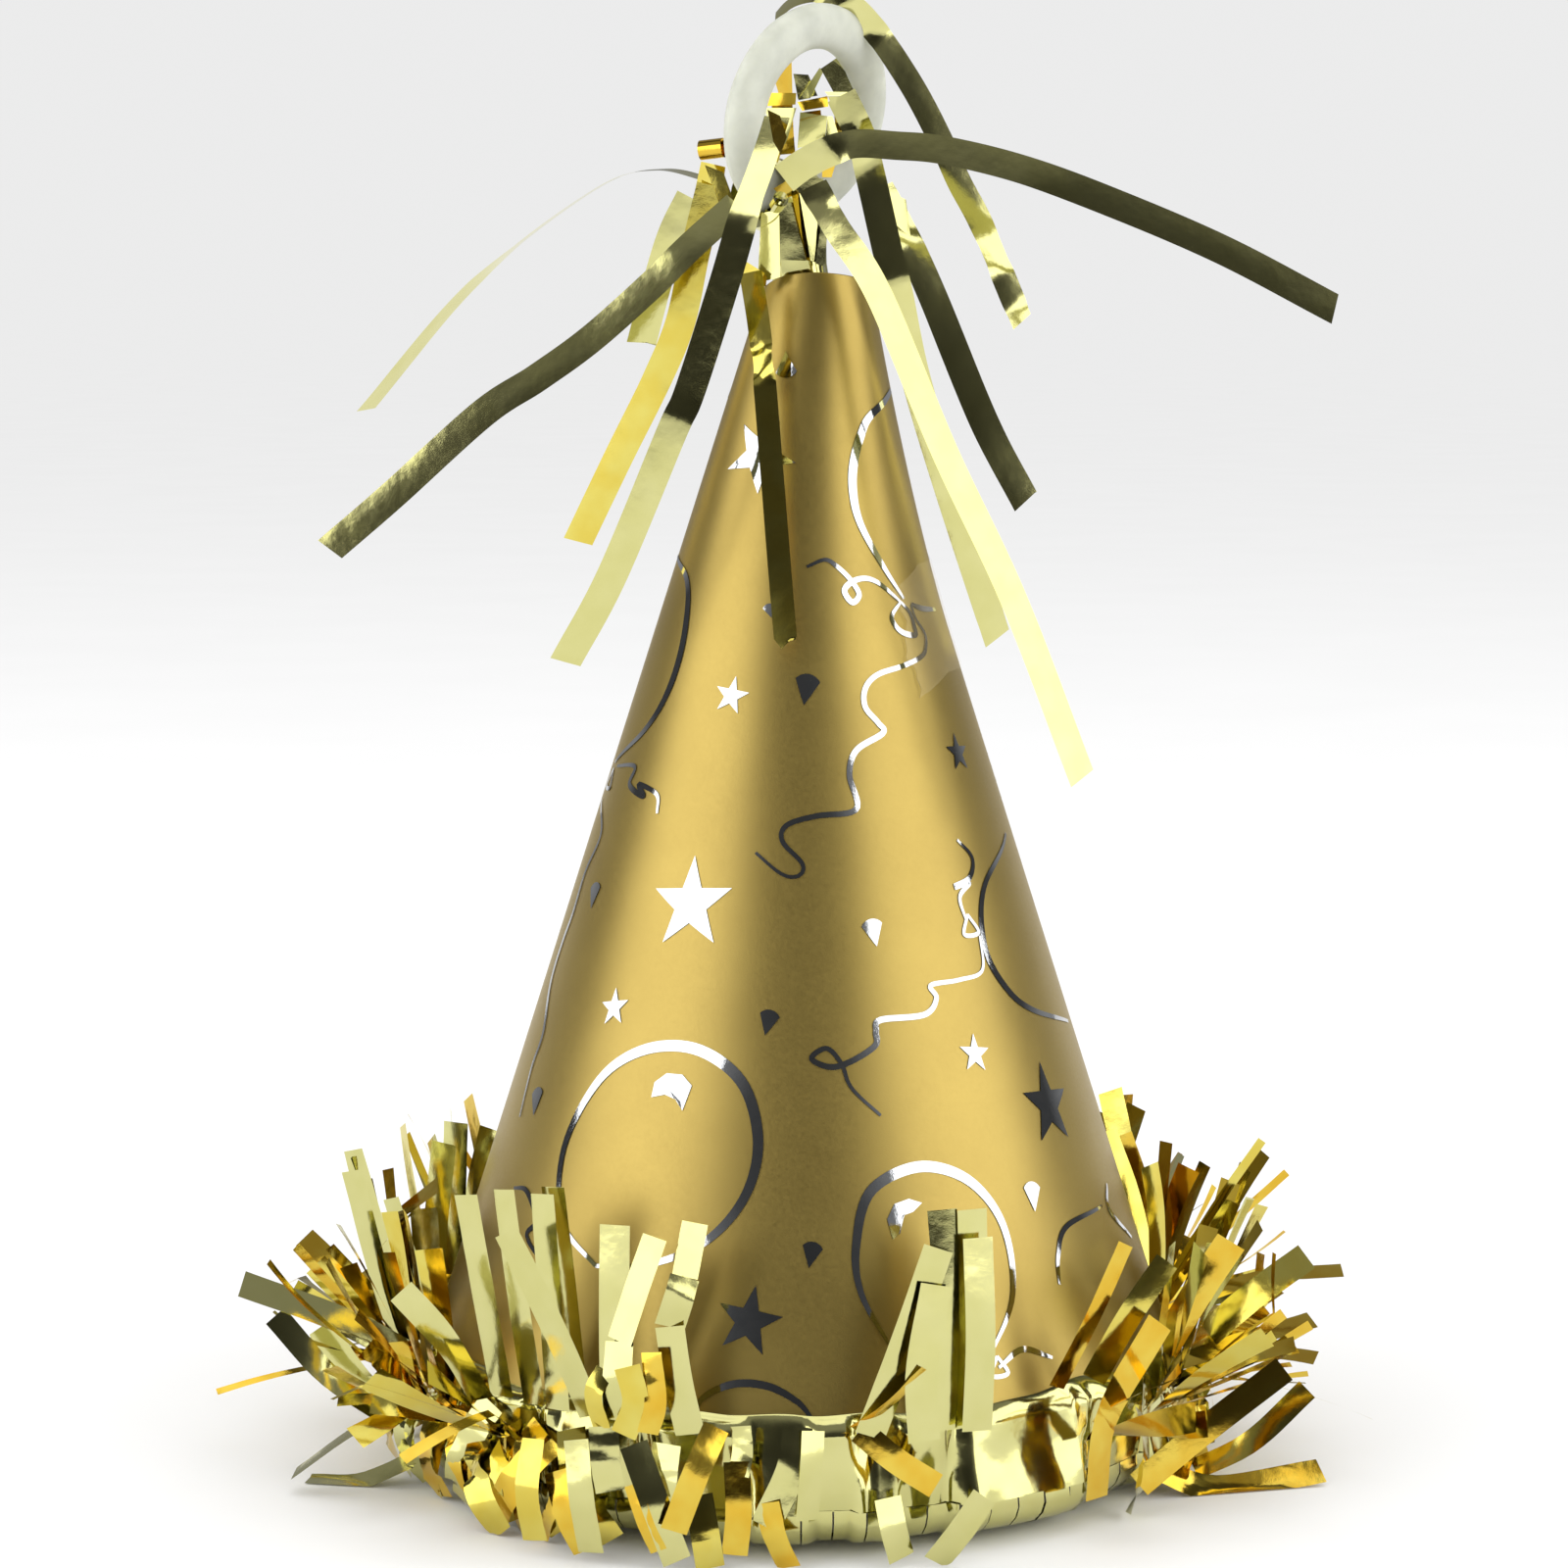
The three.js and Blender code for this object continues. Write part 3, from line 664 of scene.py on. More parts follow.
def make_upright_fringe():
    """Strips that stand up against the cone, at the sides and the back, in three shades: the pale foil and
    two copies tinted to paint bounce light.
    """
    rng = random.Random(11)
    shades = [Sheets(), Sheets(), Sheets()]
    for i in range(64):
        degrees = -32 + 244 * (i + pick(rng, 0.1, 0.9)) / 64
        tall = 0.5 + 0.5 * sin(radians(degrees))
        lay_strand(
            degrees, 42.3, 10.5,
            rise=pick(rng, 66, 90),
            curl=pick(rng, -10, 8),
            length=pick(rng, 13, 19) + 7 * tall,
            lean=pick(rng, -0.25, 0.25),
            twist=pick(rng, -55, 55),
            width=pick(rng, 2.4, 3.2),
            fold=pick(rng, 20, 60) if rng.random() < 0.2 else 0.0,
            fold_at=pick(rng, 0.3, 0.8),
            sheets=rng.choice(shades),
            seed=pick(rng, 0, 50),
        )
    return shades


def make_spread_fringe():
    """Strips that fan outwards at the sides and the back, all in the foil copies tinted to paint bounce
    light. Those on the right are thinner and more often take the deep painted tint.
    """
    rng = random.Random(23)
    warm, deep = Sheets(), Sheets()
    for i in range(120):
        degrees = -48 + 280 * (i + pick(rng, 0.1, 0.9)) / 120
        on_right = cos(radians(degrees)) > 0.3
        thin = rng.random() < (0.55 if on_right else 0.4)
        lay_strand(
            degrees, 43.0, 9.5,
            rise=pick(rng, -8, 58),
            curl=pick(rng, -25, 22),
            length=pick(rng, 8, 19) + (3 if thin else 0),
            lean=pick(rng, -0.5, 0.5),
            twist=pick(rng, -120, 120),
            width=pick(rng, 0.4, 1.3) if thin else pick(rng, 2.2, 3.2),
            fold=pick(rng, -70, 70) if rng.random() < 0.4 else 0.0,
            fold_at=pick(rng, 0.3, 0.8),
            sheets=deep if rng.random() < (0.7 if on_right else 0.45) else warm,
            seed=pick(rng, 0, 50),
        )
    return warm, deep


def hanging_strip(sheets, rng, degrees, root_z):
    """A strip that hangs over the wrap and is creased twice on its way down."""
    outward = polar(1, degrees, 0)
    sideways = polar(1, degrees + 90, 0)
    lean = pick(rng, -0.8, 0.8)
    bulge = pick(rng, 1.2, 4.0)
    drop = root_z - pick(rng, 0.2, 1.6)
    tuck = bulge * pick(rng, 0.1, 0.9)
    start = polar(BAND_RADIUS + 0.9, degrees, root_z)
    route = [
        start,
        start + outward * bulge * 0.7 + sideways * lean * drop * 0.25 + Vector((0, 0, -drop * 0.25)),
        start + outward * bulge + sideways * lean * drop * 0.6 + Vector((0, 0, -drop * 0.62)),
        start + outward * tuck + sideways * lean * drop + Vector((0, 0, -drop)),
    ]
    yaw = degrees + 90 + pick(rng, -22, 22)
    turn = pick(rng, -32, 32)
    crease = pick(rng, 0.25, 0.5)
    second = crease + pick(rng, 0.15, 0.35)
    faces = [
        (0, yaw, 18),
        (crease, yaw, 10),
        (crease + 0.05, yaw + turn, pick(rng, -38, 26)),
        (second, yaw + turn, pick(rng, -30, 10)),
        (second + 0.05, yaw - turn * 0.6, pick(rng, 5, 26)),
        (1, yaw - turn * 0.6, pick(rng, -25, 10)),
    ]
    ribbon(sheets, route, faces, pick(rng, 1.8, 3.4), steps=18, seed=pick(rng, 0, 40), crinkle=0.08)


FRONT_STRIPS = [  # strips that hang over the front: three points, (yaw, pitch) at both ends, width, finish; the warm and deep finishes are painted bounce light
    ((-16.6, -43.4, 12.6), (-14.4, -45, 6.9), (-12.3, -44.6, 1), (18, -4), (14, -8), 2.9, PALE),
    ((-13.3, -43.3, 12.6), (-13.6, -43.8, 10.2), (-13.8, -44, 7.6), (-30, 14), (-30, 14), 3.2, PALE),
    ((-8.4, -43.6, 14.4), (-10.6, -45.4, 9.7), (-12.6, -45.6, 4.4), (17, 10), (17, 10), 2.8, DEEP_PAINTED_BOUNCE),
    ((-10.2, -44, 7.6), (-9.4, -45, 3.2), (-9, -44.5, 0.3), (10, -6), (10, -10), 2.9, WARM_PAINTED_BOUNCE),
    ((-6.4, -44, 11), (-6.2, -44.8, 6), (-6.6, -44.4, 1.6), (0, -14), (0, -14), 2.6, DEEP_PAINTED_BOUNCE),
    ((-0.3, -43, 14.3), (-1, -44.2, 10.2), (-3.6, -44.6, 4.6), (10, 10), (-10, 10), 3, PALE),
    ((-3.4, -44.6, 7), (-2.6, -45, 3.7), (-1.2, -44.6, 0.4), (-20, -20), (-26, -20), 2.8, DEEP_PAINTED_BOUNCE),
    ((1.2, -43.2, 13.9), (1, -44, 10), (0.6, -44, 5), (30, 12), (30, 12), 2.6, PALE),
    ((8.6, -43.6, 7.2), (9.2, -44.2, 4.1), (10, -43.6, 1), (24, 12), (24, 12), 2.9, PALE),
    ((18.2, -43.2, 7.2), (15.9, -44, 4), (13.4, -43.6, 0.6), (22, -4), (22, -4), 3, PALE),
    ((-6, -43.2, 14.4), (-5.8, -43.6, 12), (-6.2, -44, 9.6), (-20, -6), (-20, -6), 2.2, PALE),
    ((-16.7, -44.4, 8.8), (-15.4, -45.2, 5.1), (-14.1, -45, 2.2), (-8, -20), (-8, -20), 1.8, DEEP_PAINTED_BOUNCE),
    ((-22.4, -41.8, 12.6), (-21.8, -43.2, 6.9), (-20.9, -43, 1.4), (-34, 12), (-30, 14), 3, PALE),
    ((-24.6, -40.6, 9), (-23.3, -42, 4.6), (-21.6, -42, 1.2), (-20, -12), (-10, -20), 2.6, DEEP_PAINTED_BOUNCE),
    ((-19.6, -42.6, 14.2), (-19.4, -43.2, 10.6), (-18.9, -43.4, 7.8), (-4, 10), (-4, 10), 3, PALE),
    ((-26.8, -39.4, 12), (-27.4, -41, 7), (-26.6, -41, 2), (-40, 12), (-30, -14), 3, WARM_PAINTED_BOUNCE),
    ((-17.6, -43.6, 13.6), (-16.4, -44, 17), (-17.2, -43.8, 20.6), (-14, -12), (6, -26), 2.6, WARM_PAINTED_BOUNCE),
    ((-15.2, -43.8, 13.8), (-14.4, -44.2, 17), (-14.8, -43.6, 22), (10, -8), (-20, -20), 2.2, DEEP_PAINTED_BOUNCE),
    ((-19.8, -42.6, 14), (-20.6, -43.2, 17.6), (-19.4, -42.8, 20), (-30, 4), (-24, -12), 2, WARM_PAINTED_BOUNCE),
    ((5.2, -43.4, 14.2), (8.6, -44, 16.8), (12.2, -43.8, 20.4), (10, -50), (20, -50), 1.4, DEEP_PAINTED_BOUNCE),
    ((13.4, -42.9, 8.2), (9.4, -43.6, 11), (5.8, -43.4, 14), (24, -4), (20, -4), 2.6, DEEP_PAINTED_BOUNCE),
]


def make_drooping_fringe():
    """Strips that hang over the foot and curl under it, in three shades: the pale foil and two copies tinted
    to paint bounce light.
    """
    rng = random.Random(37)
    shades = {PALE: Sheets(), WARM_PAINTED_BOUNCE: Sheets(), DEEP_PAINTED_BOUNCE: Sheets()}
    mixed = [shades[finish] for finish in (PALE, WARM_PAINTED_BOUNCE, DEEP_PAINTED_BOUNCE, DEEP_PAINTED_BOUNCE)]
    for i in range(18):
        degrees = -162 + 44 * (i + pick(rng, 0.1, 0.9)) / 18
        hanging_strip(rng.choice(mixed), rng, degrees, pick(rng, 9, 12.6))
    for i in range(34):
        degrees = -36 + 232 * (i + pick(rng, 0.1, 0.9)) / 34
        hanging_strip(rng.choice(mixed), rng, degrees, pick(rng, 8, 11))
    for n, (*route, root, tip, width, finish) in enumerate(FRONT_STRIPS):
        ribbon(shades[finish], route, [(0, *root), (1, *tip)], width, steps=12, seed=n * 2.9, crinkle=0.1)
    shades[PALE].build("drooping_fringe", PALE, replaces=["fringe_lower"])
    shades[WARM_PAINTED_BOUNCE].build("drooping_fringe_painted_warm_bounce", WARM_PAINTED_BOUNCE)
    shades[DEEP_PAINTED_BOUNCE].build("drooping_fringe_painted_deep_bounce", DEEP_PAINTED_BOUNCE)


HERO_STRIPS = [  # three points, (yaw, pitch) at the root, (yaw, pitch) at the tip, width
    ((-30.5, -31, 14), (-32.3, -31.4, 25), (-34, -31, 35), (-40, 0), (-39, 5), 3.2),
    ((-21, -38, 14), (-25, -38, 23.5), (-29.5, -37, 32.5), (-34, 0), (-38, 5), 3.2),
    ((-24.5, -36, 14), (-25.2, -36, 25), (-26, -35, 36), (-39, 0), (-40, 0), 3.2),
    ((-23, -34.5, 18), (-24, -34.2, 28), (-25, -34, 36.5), (-38, 10), (-38, 10), 3),
    ((-27, -34, 14), (-28.6, -33.8, 25), (-30, -33, 36), (-40, 0), (-42, 0), 3),
    ((-32.5, -32, 14), (-36, -33.5, 20.5), (-40.5, -33, 25.5), (-39, 20), (-40, 20), 3.2),
    ((-18.5, -40.6, 14), (-18.6, -40.8, 24), (-18.5, -40, 34), (-18, 0), (-18, 0), 3.2),
    ((-18, -42, 13.5), (-18.2, -43.5, 18.5), (-18, -42.5, 22.8), (-10, -40), (-20, -50), 3.1),
    ((-18, -42.5, 22.8), (-16.3, -42.2, 28), (-14.5, -41, 33), (-34, 14), (-34, 14), 3),
    ((-11, -43, 13.5), (-12.2, -43.2, 19), (-13, -42.8, 24.4), (-16, 0), (-18, 0), 3.1),
    ((-13, -42.8, 24.4), (-12.2, -43.4, 27), (-11.5, -42.8, 29.4), (-5, -45), (-5, -45), 3.1),
    ((-11.5, -42.8, 29.4), (-11, -42.2, 32), (-10.5, -41.6, 34.6), (-30, 14), (-30, 14), 3),
    ((6.8, -43.6, 13.5), (10.2, -43, 22.5), (13.6, -41.6, 32), (20, -2), (20, -2), 3.3),
    ((14.5, -41.5, 13.5), (14.8, -41, 24), (14, -39.8, 35.5), (24, -14), (10, -24), 3),
    ((17, -40.6, 13.5), (17.2, -40.2, 24), (17, -39.6, 35.5), (22, -2), (22, 0), 3.2),
    ((17.5, -41.8, 13.5), (17.8, -42, 23), (17.5, -41.2, 33), (20, -2), (21, -2), 3.2),
    ((12.2, -43.8, 13), (11.9, -43.6, 20), (13.4, -42.4, 28.5), (19, -2), (19, -2), 3.4),
    ((26, -33, 15.5), (29.5, -33, 22.5), (33, -31.5, 30), (44, 10), (45, 10), 2.2),
    ((30, -30, 15.5), (33.5, -30, 22), (37.5, -28.5, 27.5), (16, 16), (16, 16), 2.6),
    ((38, -19, 15.5), (41.5, -20, 22), (45, -20, 27.5), (17, 14), (17, 14), 3.4),
    ((40.5, -2, 19), (45.5, -1, 27), (50.5, 0, 34), (20, 0), (20, 0), 1.1),
    ((42, 1, 19), (47.5, 1.5, 24.5), (53.5, 2, 30), (20, 0), (20, 0), 1),
    ((40, 8, 17), (39.8, 8, 24), (39, 8, 29.5), (48, 0), (46, 0), 3),
    ((44, 0, 16.5), (51, 0, 18.8), (59.5, 0, 19.5), (30, 70), (20, 70), 2.6),
    ((44, -8, 14.5), (49, -8.4, 19), (54.5, -8, 23), (39, 50), (42, 50), 3.2),
    ((39, -9, 11), (47, -8, 13.5), (55.5, -6, 15.5), (20, 72), (30, 72), 3),
    ((39, -10, 9.5), (46, -9, 11.5), (53.5, -8, 13), (0, 80), (10, 80), 3),
    ((35, -27, 3.5), (42, -27, 9.5), (50, -26, 15.5), (16, 24), (16, 24), 2.8),
    ((42, -15, 1.5), (48, -15, 4.6), (54, -14, 10), (24, 44), (24, 44), 2.4),
    ((37, -20, 3.5), (44, -18, 0.4), (55.5, -15, 1.4), (30, 40), (40, 55), 3.2),
    ((37, 20, 19), (37, 20, 28), (35.5, 20, 35.5), (30, -10), (30, -10), 3.2),
    ((39.5, 14, 18), (38.2, 14, 25), (36, 14, 31.5), (8, 0), (8, 0), 3.2),
    ((39.5, 10, 14), (37.5, 11, 24), (34.5, 12, 32.5), (40, 0), (40, 0), 3),
    ((30, -35, 4.5), (31, -35, 13), (36.5, -32, 22), (48, 0), (42, 10), 3.6),
    ((-41, -10, 12), (-49, -10.5, 16.6), (-59.5, -12, 21), (-34, 45), (-37, 45), 3.2),
    ((-43, -13, 6), (-50, -13, 11), (-56, -12, 17.5), (-34, 62), (-46, 50), 2.6),
    ((-44, -10, 6), (-48, -10, 10.5), (-51.5, -9, 15.5), (-8, 0), (-8, 0), 3.2),
    ((-38, -22, 11), (-45.5, -20, 8), (-53.5, -18, 2), (-20, 76), (-20, 80), 3),
    ((-41, -16, 3), (-47, -15, 0.2), (-52.5, -14, -0.2), (-40, 60), (-40, 66), 3),
    ((-42, 0, 13), (-46, 1, 22), (-49, 2, 32.5), (-10, -20), (-40, 0), 3),
    ((-42.5, -5, 10.5), (-45.5, -5, 20), (-48.5, -4, 31.5), (-40, 0), (-39, 0), 3.2),
    ((-41, 8, 14), (-40.5, 8, 23), (-39.5, 8, 32), (-34, -45), (-34, -45), 3.2),
    ((-39, 12, 16), (-38.8, 12, 25), (-38.5, 12, 33.5), (-22, 0), (-22, 0), 3),
    ((-37.5, 18, 18), (-36.5, 18, 25), (-35, 18, 31.5), (-30, -20), (-30, -20), 3),
    ((-40, -4, 12), (-42, -3, 20), (-44.5, -2, 28), (-44, 0), (-46, 0), 2.8),
    ((-41, 3, 14), (-41.2, 4, 20), (-41.5, 4, 25.5), (6, 10), (6, 10), 3),
]


def make_hero_strips(shades):
    """The strips that show most. Those on the right take the warm and deep foil tints, which paint bounce
    light.
    """
    for n, (*route, root, tip, width) in enumerate(HERO_STRIPS):
        shade = shades[1 + n % 2] if route[0][0] > 24 else shades[0]
        ribbon(shade, route, [(0, *root), (1, *tip)], width, steps=12, seed=n * 1.37, crinkle=0.05)


upright = make_upright_fringe()
make_hero_strips(upright)
# The upright sheets after the first, and both spread sheets, take the foil copies tinted to paint bounce
# light.
upright[0].build("upright_fringe", PALE, replaces=["fringe_inner"])
upright[1].build("upright_fringe_painted_warm_bounce", WARM_PAINTED_BOUNCE)
upright[2].build("upright_fringe_painted_deep_bounce", DEEP_PAINTED_BOUNCE)
spread_painted_warm_bounce, spread_painted_deep_bounce = make_spread_fringe()
spread_painted_warm_bounce.build("spread_fringe", WARM_PAINTED_BOUNCE, replaces=["fringe_outer"])
spread_painted_deep_bounce.build("spread_fringe_painted_deep_bounce", DEEP_PAINTED_BOUNCE)
make_drooping_fringe()


# ---- Neck and ring ----


def make_neck():
    """A bundle of pleated foil that comes out of the tip."""
    centres = [(NECK_BOTTOM_Z, 0.0), (125, 0.2), (127, 0.2), (129, -0.4), (132, -0.7), (NECK_TOP_Z, -0.9)]
    radii = [(NECK_BOTTOM_Z, 3.6), (125, 3.0), (127, 3.0), (129, 3.3), (132, 3.5), (NECK_TOP_Z, 3.2)]
    rows = []
    for i in range(25):
        z = lerp(NECK_BOTTOM_Z, NECK_TOP_Z, i / 24)
        x = blend_stops(centres, z)
        radius = blend_stops(radii, z)
        row = []
        for j in range(73):
            degrees = j * 5
            pleat = abs(sin(radians(degrees * 2.5 + 20))) ** 0.7
            around = polar(2, degrees, z * 0.2)
            row.append(polar(radius * (0.9 + 0.12 * pleat + 0.06 * noise.noise(around)), degrees, z))
            row[-1].x += x
        rows.append(row)
    build_sheet(rows, "pleated_neck", PALE, replaces=["foil_neck"])


RING_ACROSS = Vector((
    cos(RING_TURN) * cos(RING_LEAN),
    sin(RING_TURN),
    -cos(RING_TURN) * sin(RING_LEAN),
))
RING_UP = Vector((sin(RING_LEAN), 0, cos(RING_LEAN)))
RING_OUT = RING_ACROSS.cross(RING_UP)
RING_CENTRE = RING_FOOT + RING_UP * RING_RADIUS


def ring_frame(x, y, z):
    return RING_CENTRE + RING_ACROSS * x + RING_UP * y + RING_OUT * z


def ring_point(along, around, half_radial, half_axial):
    reach = RING_RADIUS + half_radial * cos(around)
    return ring_frame(reach * cos(along), reach * sin(along), half_axial * sin(around))


def make_ring():
    rows = []
    for i in range(120):
        along = TURN * i / 120
        uneven = 1 + 0.025 * wave(cos(along) * 2, sin(along) * 2, 3)
        halves = RING_HALF_RADIAL * uneven, RING_HALF_AXIAL * uneven
        rows.append([ring_point(along, TURN * j / 32, *halves) for j in range(33)])
    options = {"slot": "frosted_plastic", "replaces": ["hanging_ring"]}
    build_sheet(rows, "frosted_ring", FROSTED, closed=True, body="ring", **options)


def make_collar():
    rows = []
    for i in range(13):
        along = -pi / 2 + radians(-15 + 30 * i / 12)
        row = []
        for j in range(37):
            radial = RING_HALF_RADIAL + COLLAR_STAND + 0.06 * wave(i, j * 0.7, 0)
            row.append(ring_point(along, TURN * j / 36, radial, RING_HALF_AXIAL + COLLAR_STAND))
        rows.append(row)
    build_sheet(rows, "foil_collar", PALE, body="ring_loop", replaces=["ring_collar"])


def make_strap():
    rows = []
    for i in range(49):
        around = TURN * i / 48
        row = []
        for k in range(7):
            place = Vector((cos(around) * 3, sin(around) * 3, k * 0.5))
            reach = 3.95 + 0.1 * noise.noise(place)
            up, out = reach * cos(around) - RING_RADIUS, reach * sin(around)
            row.append(ring_frame(lerp(-3, 3, k / 6), up, out))
        rows.append(row)
    build_sheet(rows, "foil_strap", PALE, replaces=["ring_strap"])


make_neck()
make_ring()
make_collar()
make_strap()


# ---- Tassel ----

WIDTHS = {"over_ring": 2.7, "on_cone": 2.4}  # the streamers that are narrower than STRIP
STREAMERS = {  # route, faces as (t, yaw, pitch), finish; the warm finish is painted bounce light
    "long_left": (
        [(-6.6, -3.6, 135.1), (-11.6, -5.6, 130.6), (-15.8, -6, 126.5), (-21.9, -6.4, 121.1),
         (-27.6, -7, 117), (-33.3, -7.4, 113.3), (-42.7, -7.2, 104.9), (-49.6, -7, 99)],
        [(0, -12, 15), (0.55, -11.5, 15), (0.62, -11.2, 11), (1, -11.2, 11)], PALE),
    "far_left": (
        [(-8.5, 3.5, 137.5), (-15, 6, 139), (-22, 8, 137), (-35.5, 12, 127), (-48, 16, 113)],
        [(0, 90, -80), (0.3, 90, -64), (0.5, 84, -52), (0.62, 68, -48), (1, 62, -40)], PALE),
    "front_left": (
        [(-2.4, -10.8, 143.9), (-3.9, -12.2, 139.2), (-5.7, -12.4, 134.2), (-7.9, -12.6, 126.7),
         (-11.5, -12.8, 115.6), (-13.3, -13, 111.6), (-19.7, -11.4, 96.5), (-24.7, -9.6, 87.3)],
        [(0, -34, 8), (0.14, -32, 8), (0.2, -6, 4), (0.53, -2, 6), (0.56, -10, -8), (1, -8, -12)], PALE),
    "left": (
        [(-9.4, 0.8, 137.2), (-11.2, 1.2, 130), (-12.8, 1.8, 122.7), (-15.4, 2.8, 116.5),
         (-19.6, 4.4, 108.2), (-24.1, 6.2, 99)],
        [(0, -6, -4), (0.5, -8, -4), (0.55, -14, -5), (1, -14, -5)], WARM_PAINTED_BOUNCE),
    "short_left": (
        [(-11.7, 4, 136), (-13.7, 4.6, 132), (-15.4, 5.4, 126.7), (-17.1, 6.4, 120.5)],
        [(0, -10, -7), (1, -10, -6)], PALE),
    "on_cone": (
        [(-5.2, -6.4, 128), (-4.1, -9.6, 120.7), (-3, -13.5, 108), (-2.1, -17, 97), (-1.5, -19.4, 90)],
        [(0, -12, 18), (0.2, -12, 18), (0.23, -32, 0), (0.27, -32, 0), (0.31, 0, 14), (0.75, 0, 14),
         (0.87, -7, 14), (1, -10, 14)], WARM_PAINTED_BOUNCE),
    "bright_right": (
        [(1.3, -7.8, 136.9), (3.8, -8.8, 132.5), (8.2, -9.6, 125.6), (15, -11.5, 109.5),
         (22.2, -13.4, 94.2), (29.4, -14.8, 75.6)],
        [(0, 6, 20), (0.02, 8, 10), (0.04, 27, 6), (1, 27, 6)], PALE),
    "pale_right": (
        [(4.3, -3.8, 146.4), (6.3, -3.8, 142.2), (7.4, -3.2, 138.1), (9.3, -3.6, 129.8), (10.3, -3.6, 126),
         (12.3, -1.6, 116.9), (16, 2, 105), (21.6, 6.6, 88.4)],
        [(0, -8, -4), (0.05, -8, -4), (0.08, 14, 6), (0.17, 6, 6), (0.3, 8, 6), (0.34, 14, -12),
         (0.6, 14, -8), (0.95, 14, -4), (0.97, 15, 6)], PALE),
    "dark_right": (
        [(8.8, 5.4, 137.2), (9.8, 5.2, 135.3), (11.9, 5, 130.8), (14.5, 4.6, 125), (19.9, 4, 112),
         (24.4, 3.6, 103.5)],
        [(0, 38, 6), (0.13, 30, 6), (0.2, 14, 6), (0.5, 8, 6), (0.75, 8, 6), (0.85, 13, 6),
         (1, 13, 6)], PALE),
    "over_ring": (
        [(-2.6, 3.2, 154.9), (-1, 2.4, 156.3), (0.9, 1.4, 157), (2.9, 0.6, 157), (4.8, 0.5, 156.3),
         (6.4, 0.5, 155.1), (8.3, 0.8, 152.9), (10.3, 1, 150.1), (12.6, 1, 146.4), (14.9, 1, 142),
         (16.9, 1, 137.6), (19.5, 1, 132.7), (23.7, 1, 122.8)],
        [(0, -30, 60), (0.12, 0, 50), (0.2, -12, -14), (0.26, -12, -14), (0.3, 14, 6), (0.5, 12, 5),
         (0.66, 13, 5), (0.77, 16, 5), (0.81, 28, 5), (0.86, 28, 5), (0.89, 13, 5), (0.95, 13, 5),
         (0.98, 28, 5), (1, 28, 5)], PALE),
    "long_right": (
        [(-1.7, -8.6, 137.6), (0.2, -8.8, 139), (2.7, -9, 140.3), (5.7, -9.1, 141.2), (9.8, -9.4, 141),
         (14.9, -9.8, 140.5), (23, -10.6, 138.5), (32.2, -11.6, 135.1), (43.4, -13, 130.3),
         (55, -14.4, 124.2)],
        [(0, 2, -6), (0.09, -2, -6), (0.12, -3, 22), (0.42, 0, 22), (0.52, 4, 17), (1, 4, 17)], PALE),
}


def make_streamers():
    for n, (name, (route, faces, finish)) in enumerate(STREAMERS.items()):
        sheets = Sheets()
        point = 0.6 if name == "on_cone" else 0.0
        ribbon(sheets, route, faces, WIDTHS.get(name, STRIP), steps=110, seed=n * 3.1, cut=0.4, point=point)
        body = "ring_loop" if name == "over_ring" else "hat"
        sheets.build("strip_" + name, finish, body=body, replaces=["streamer_" + name])


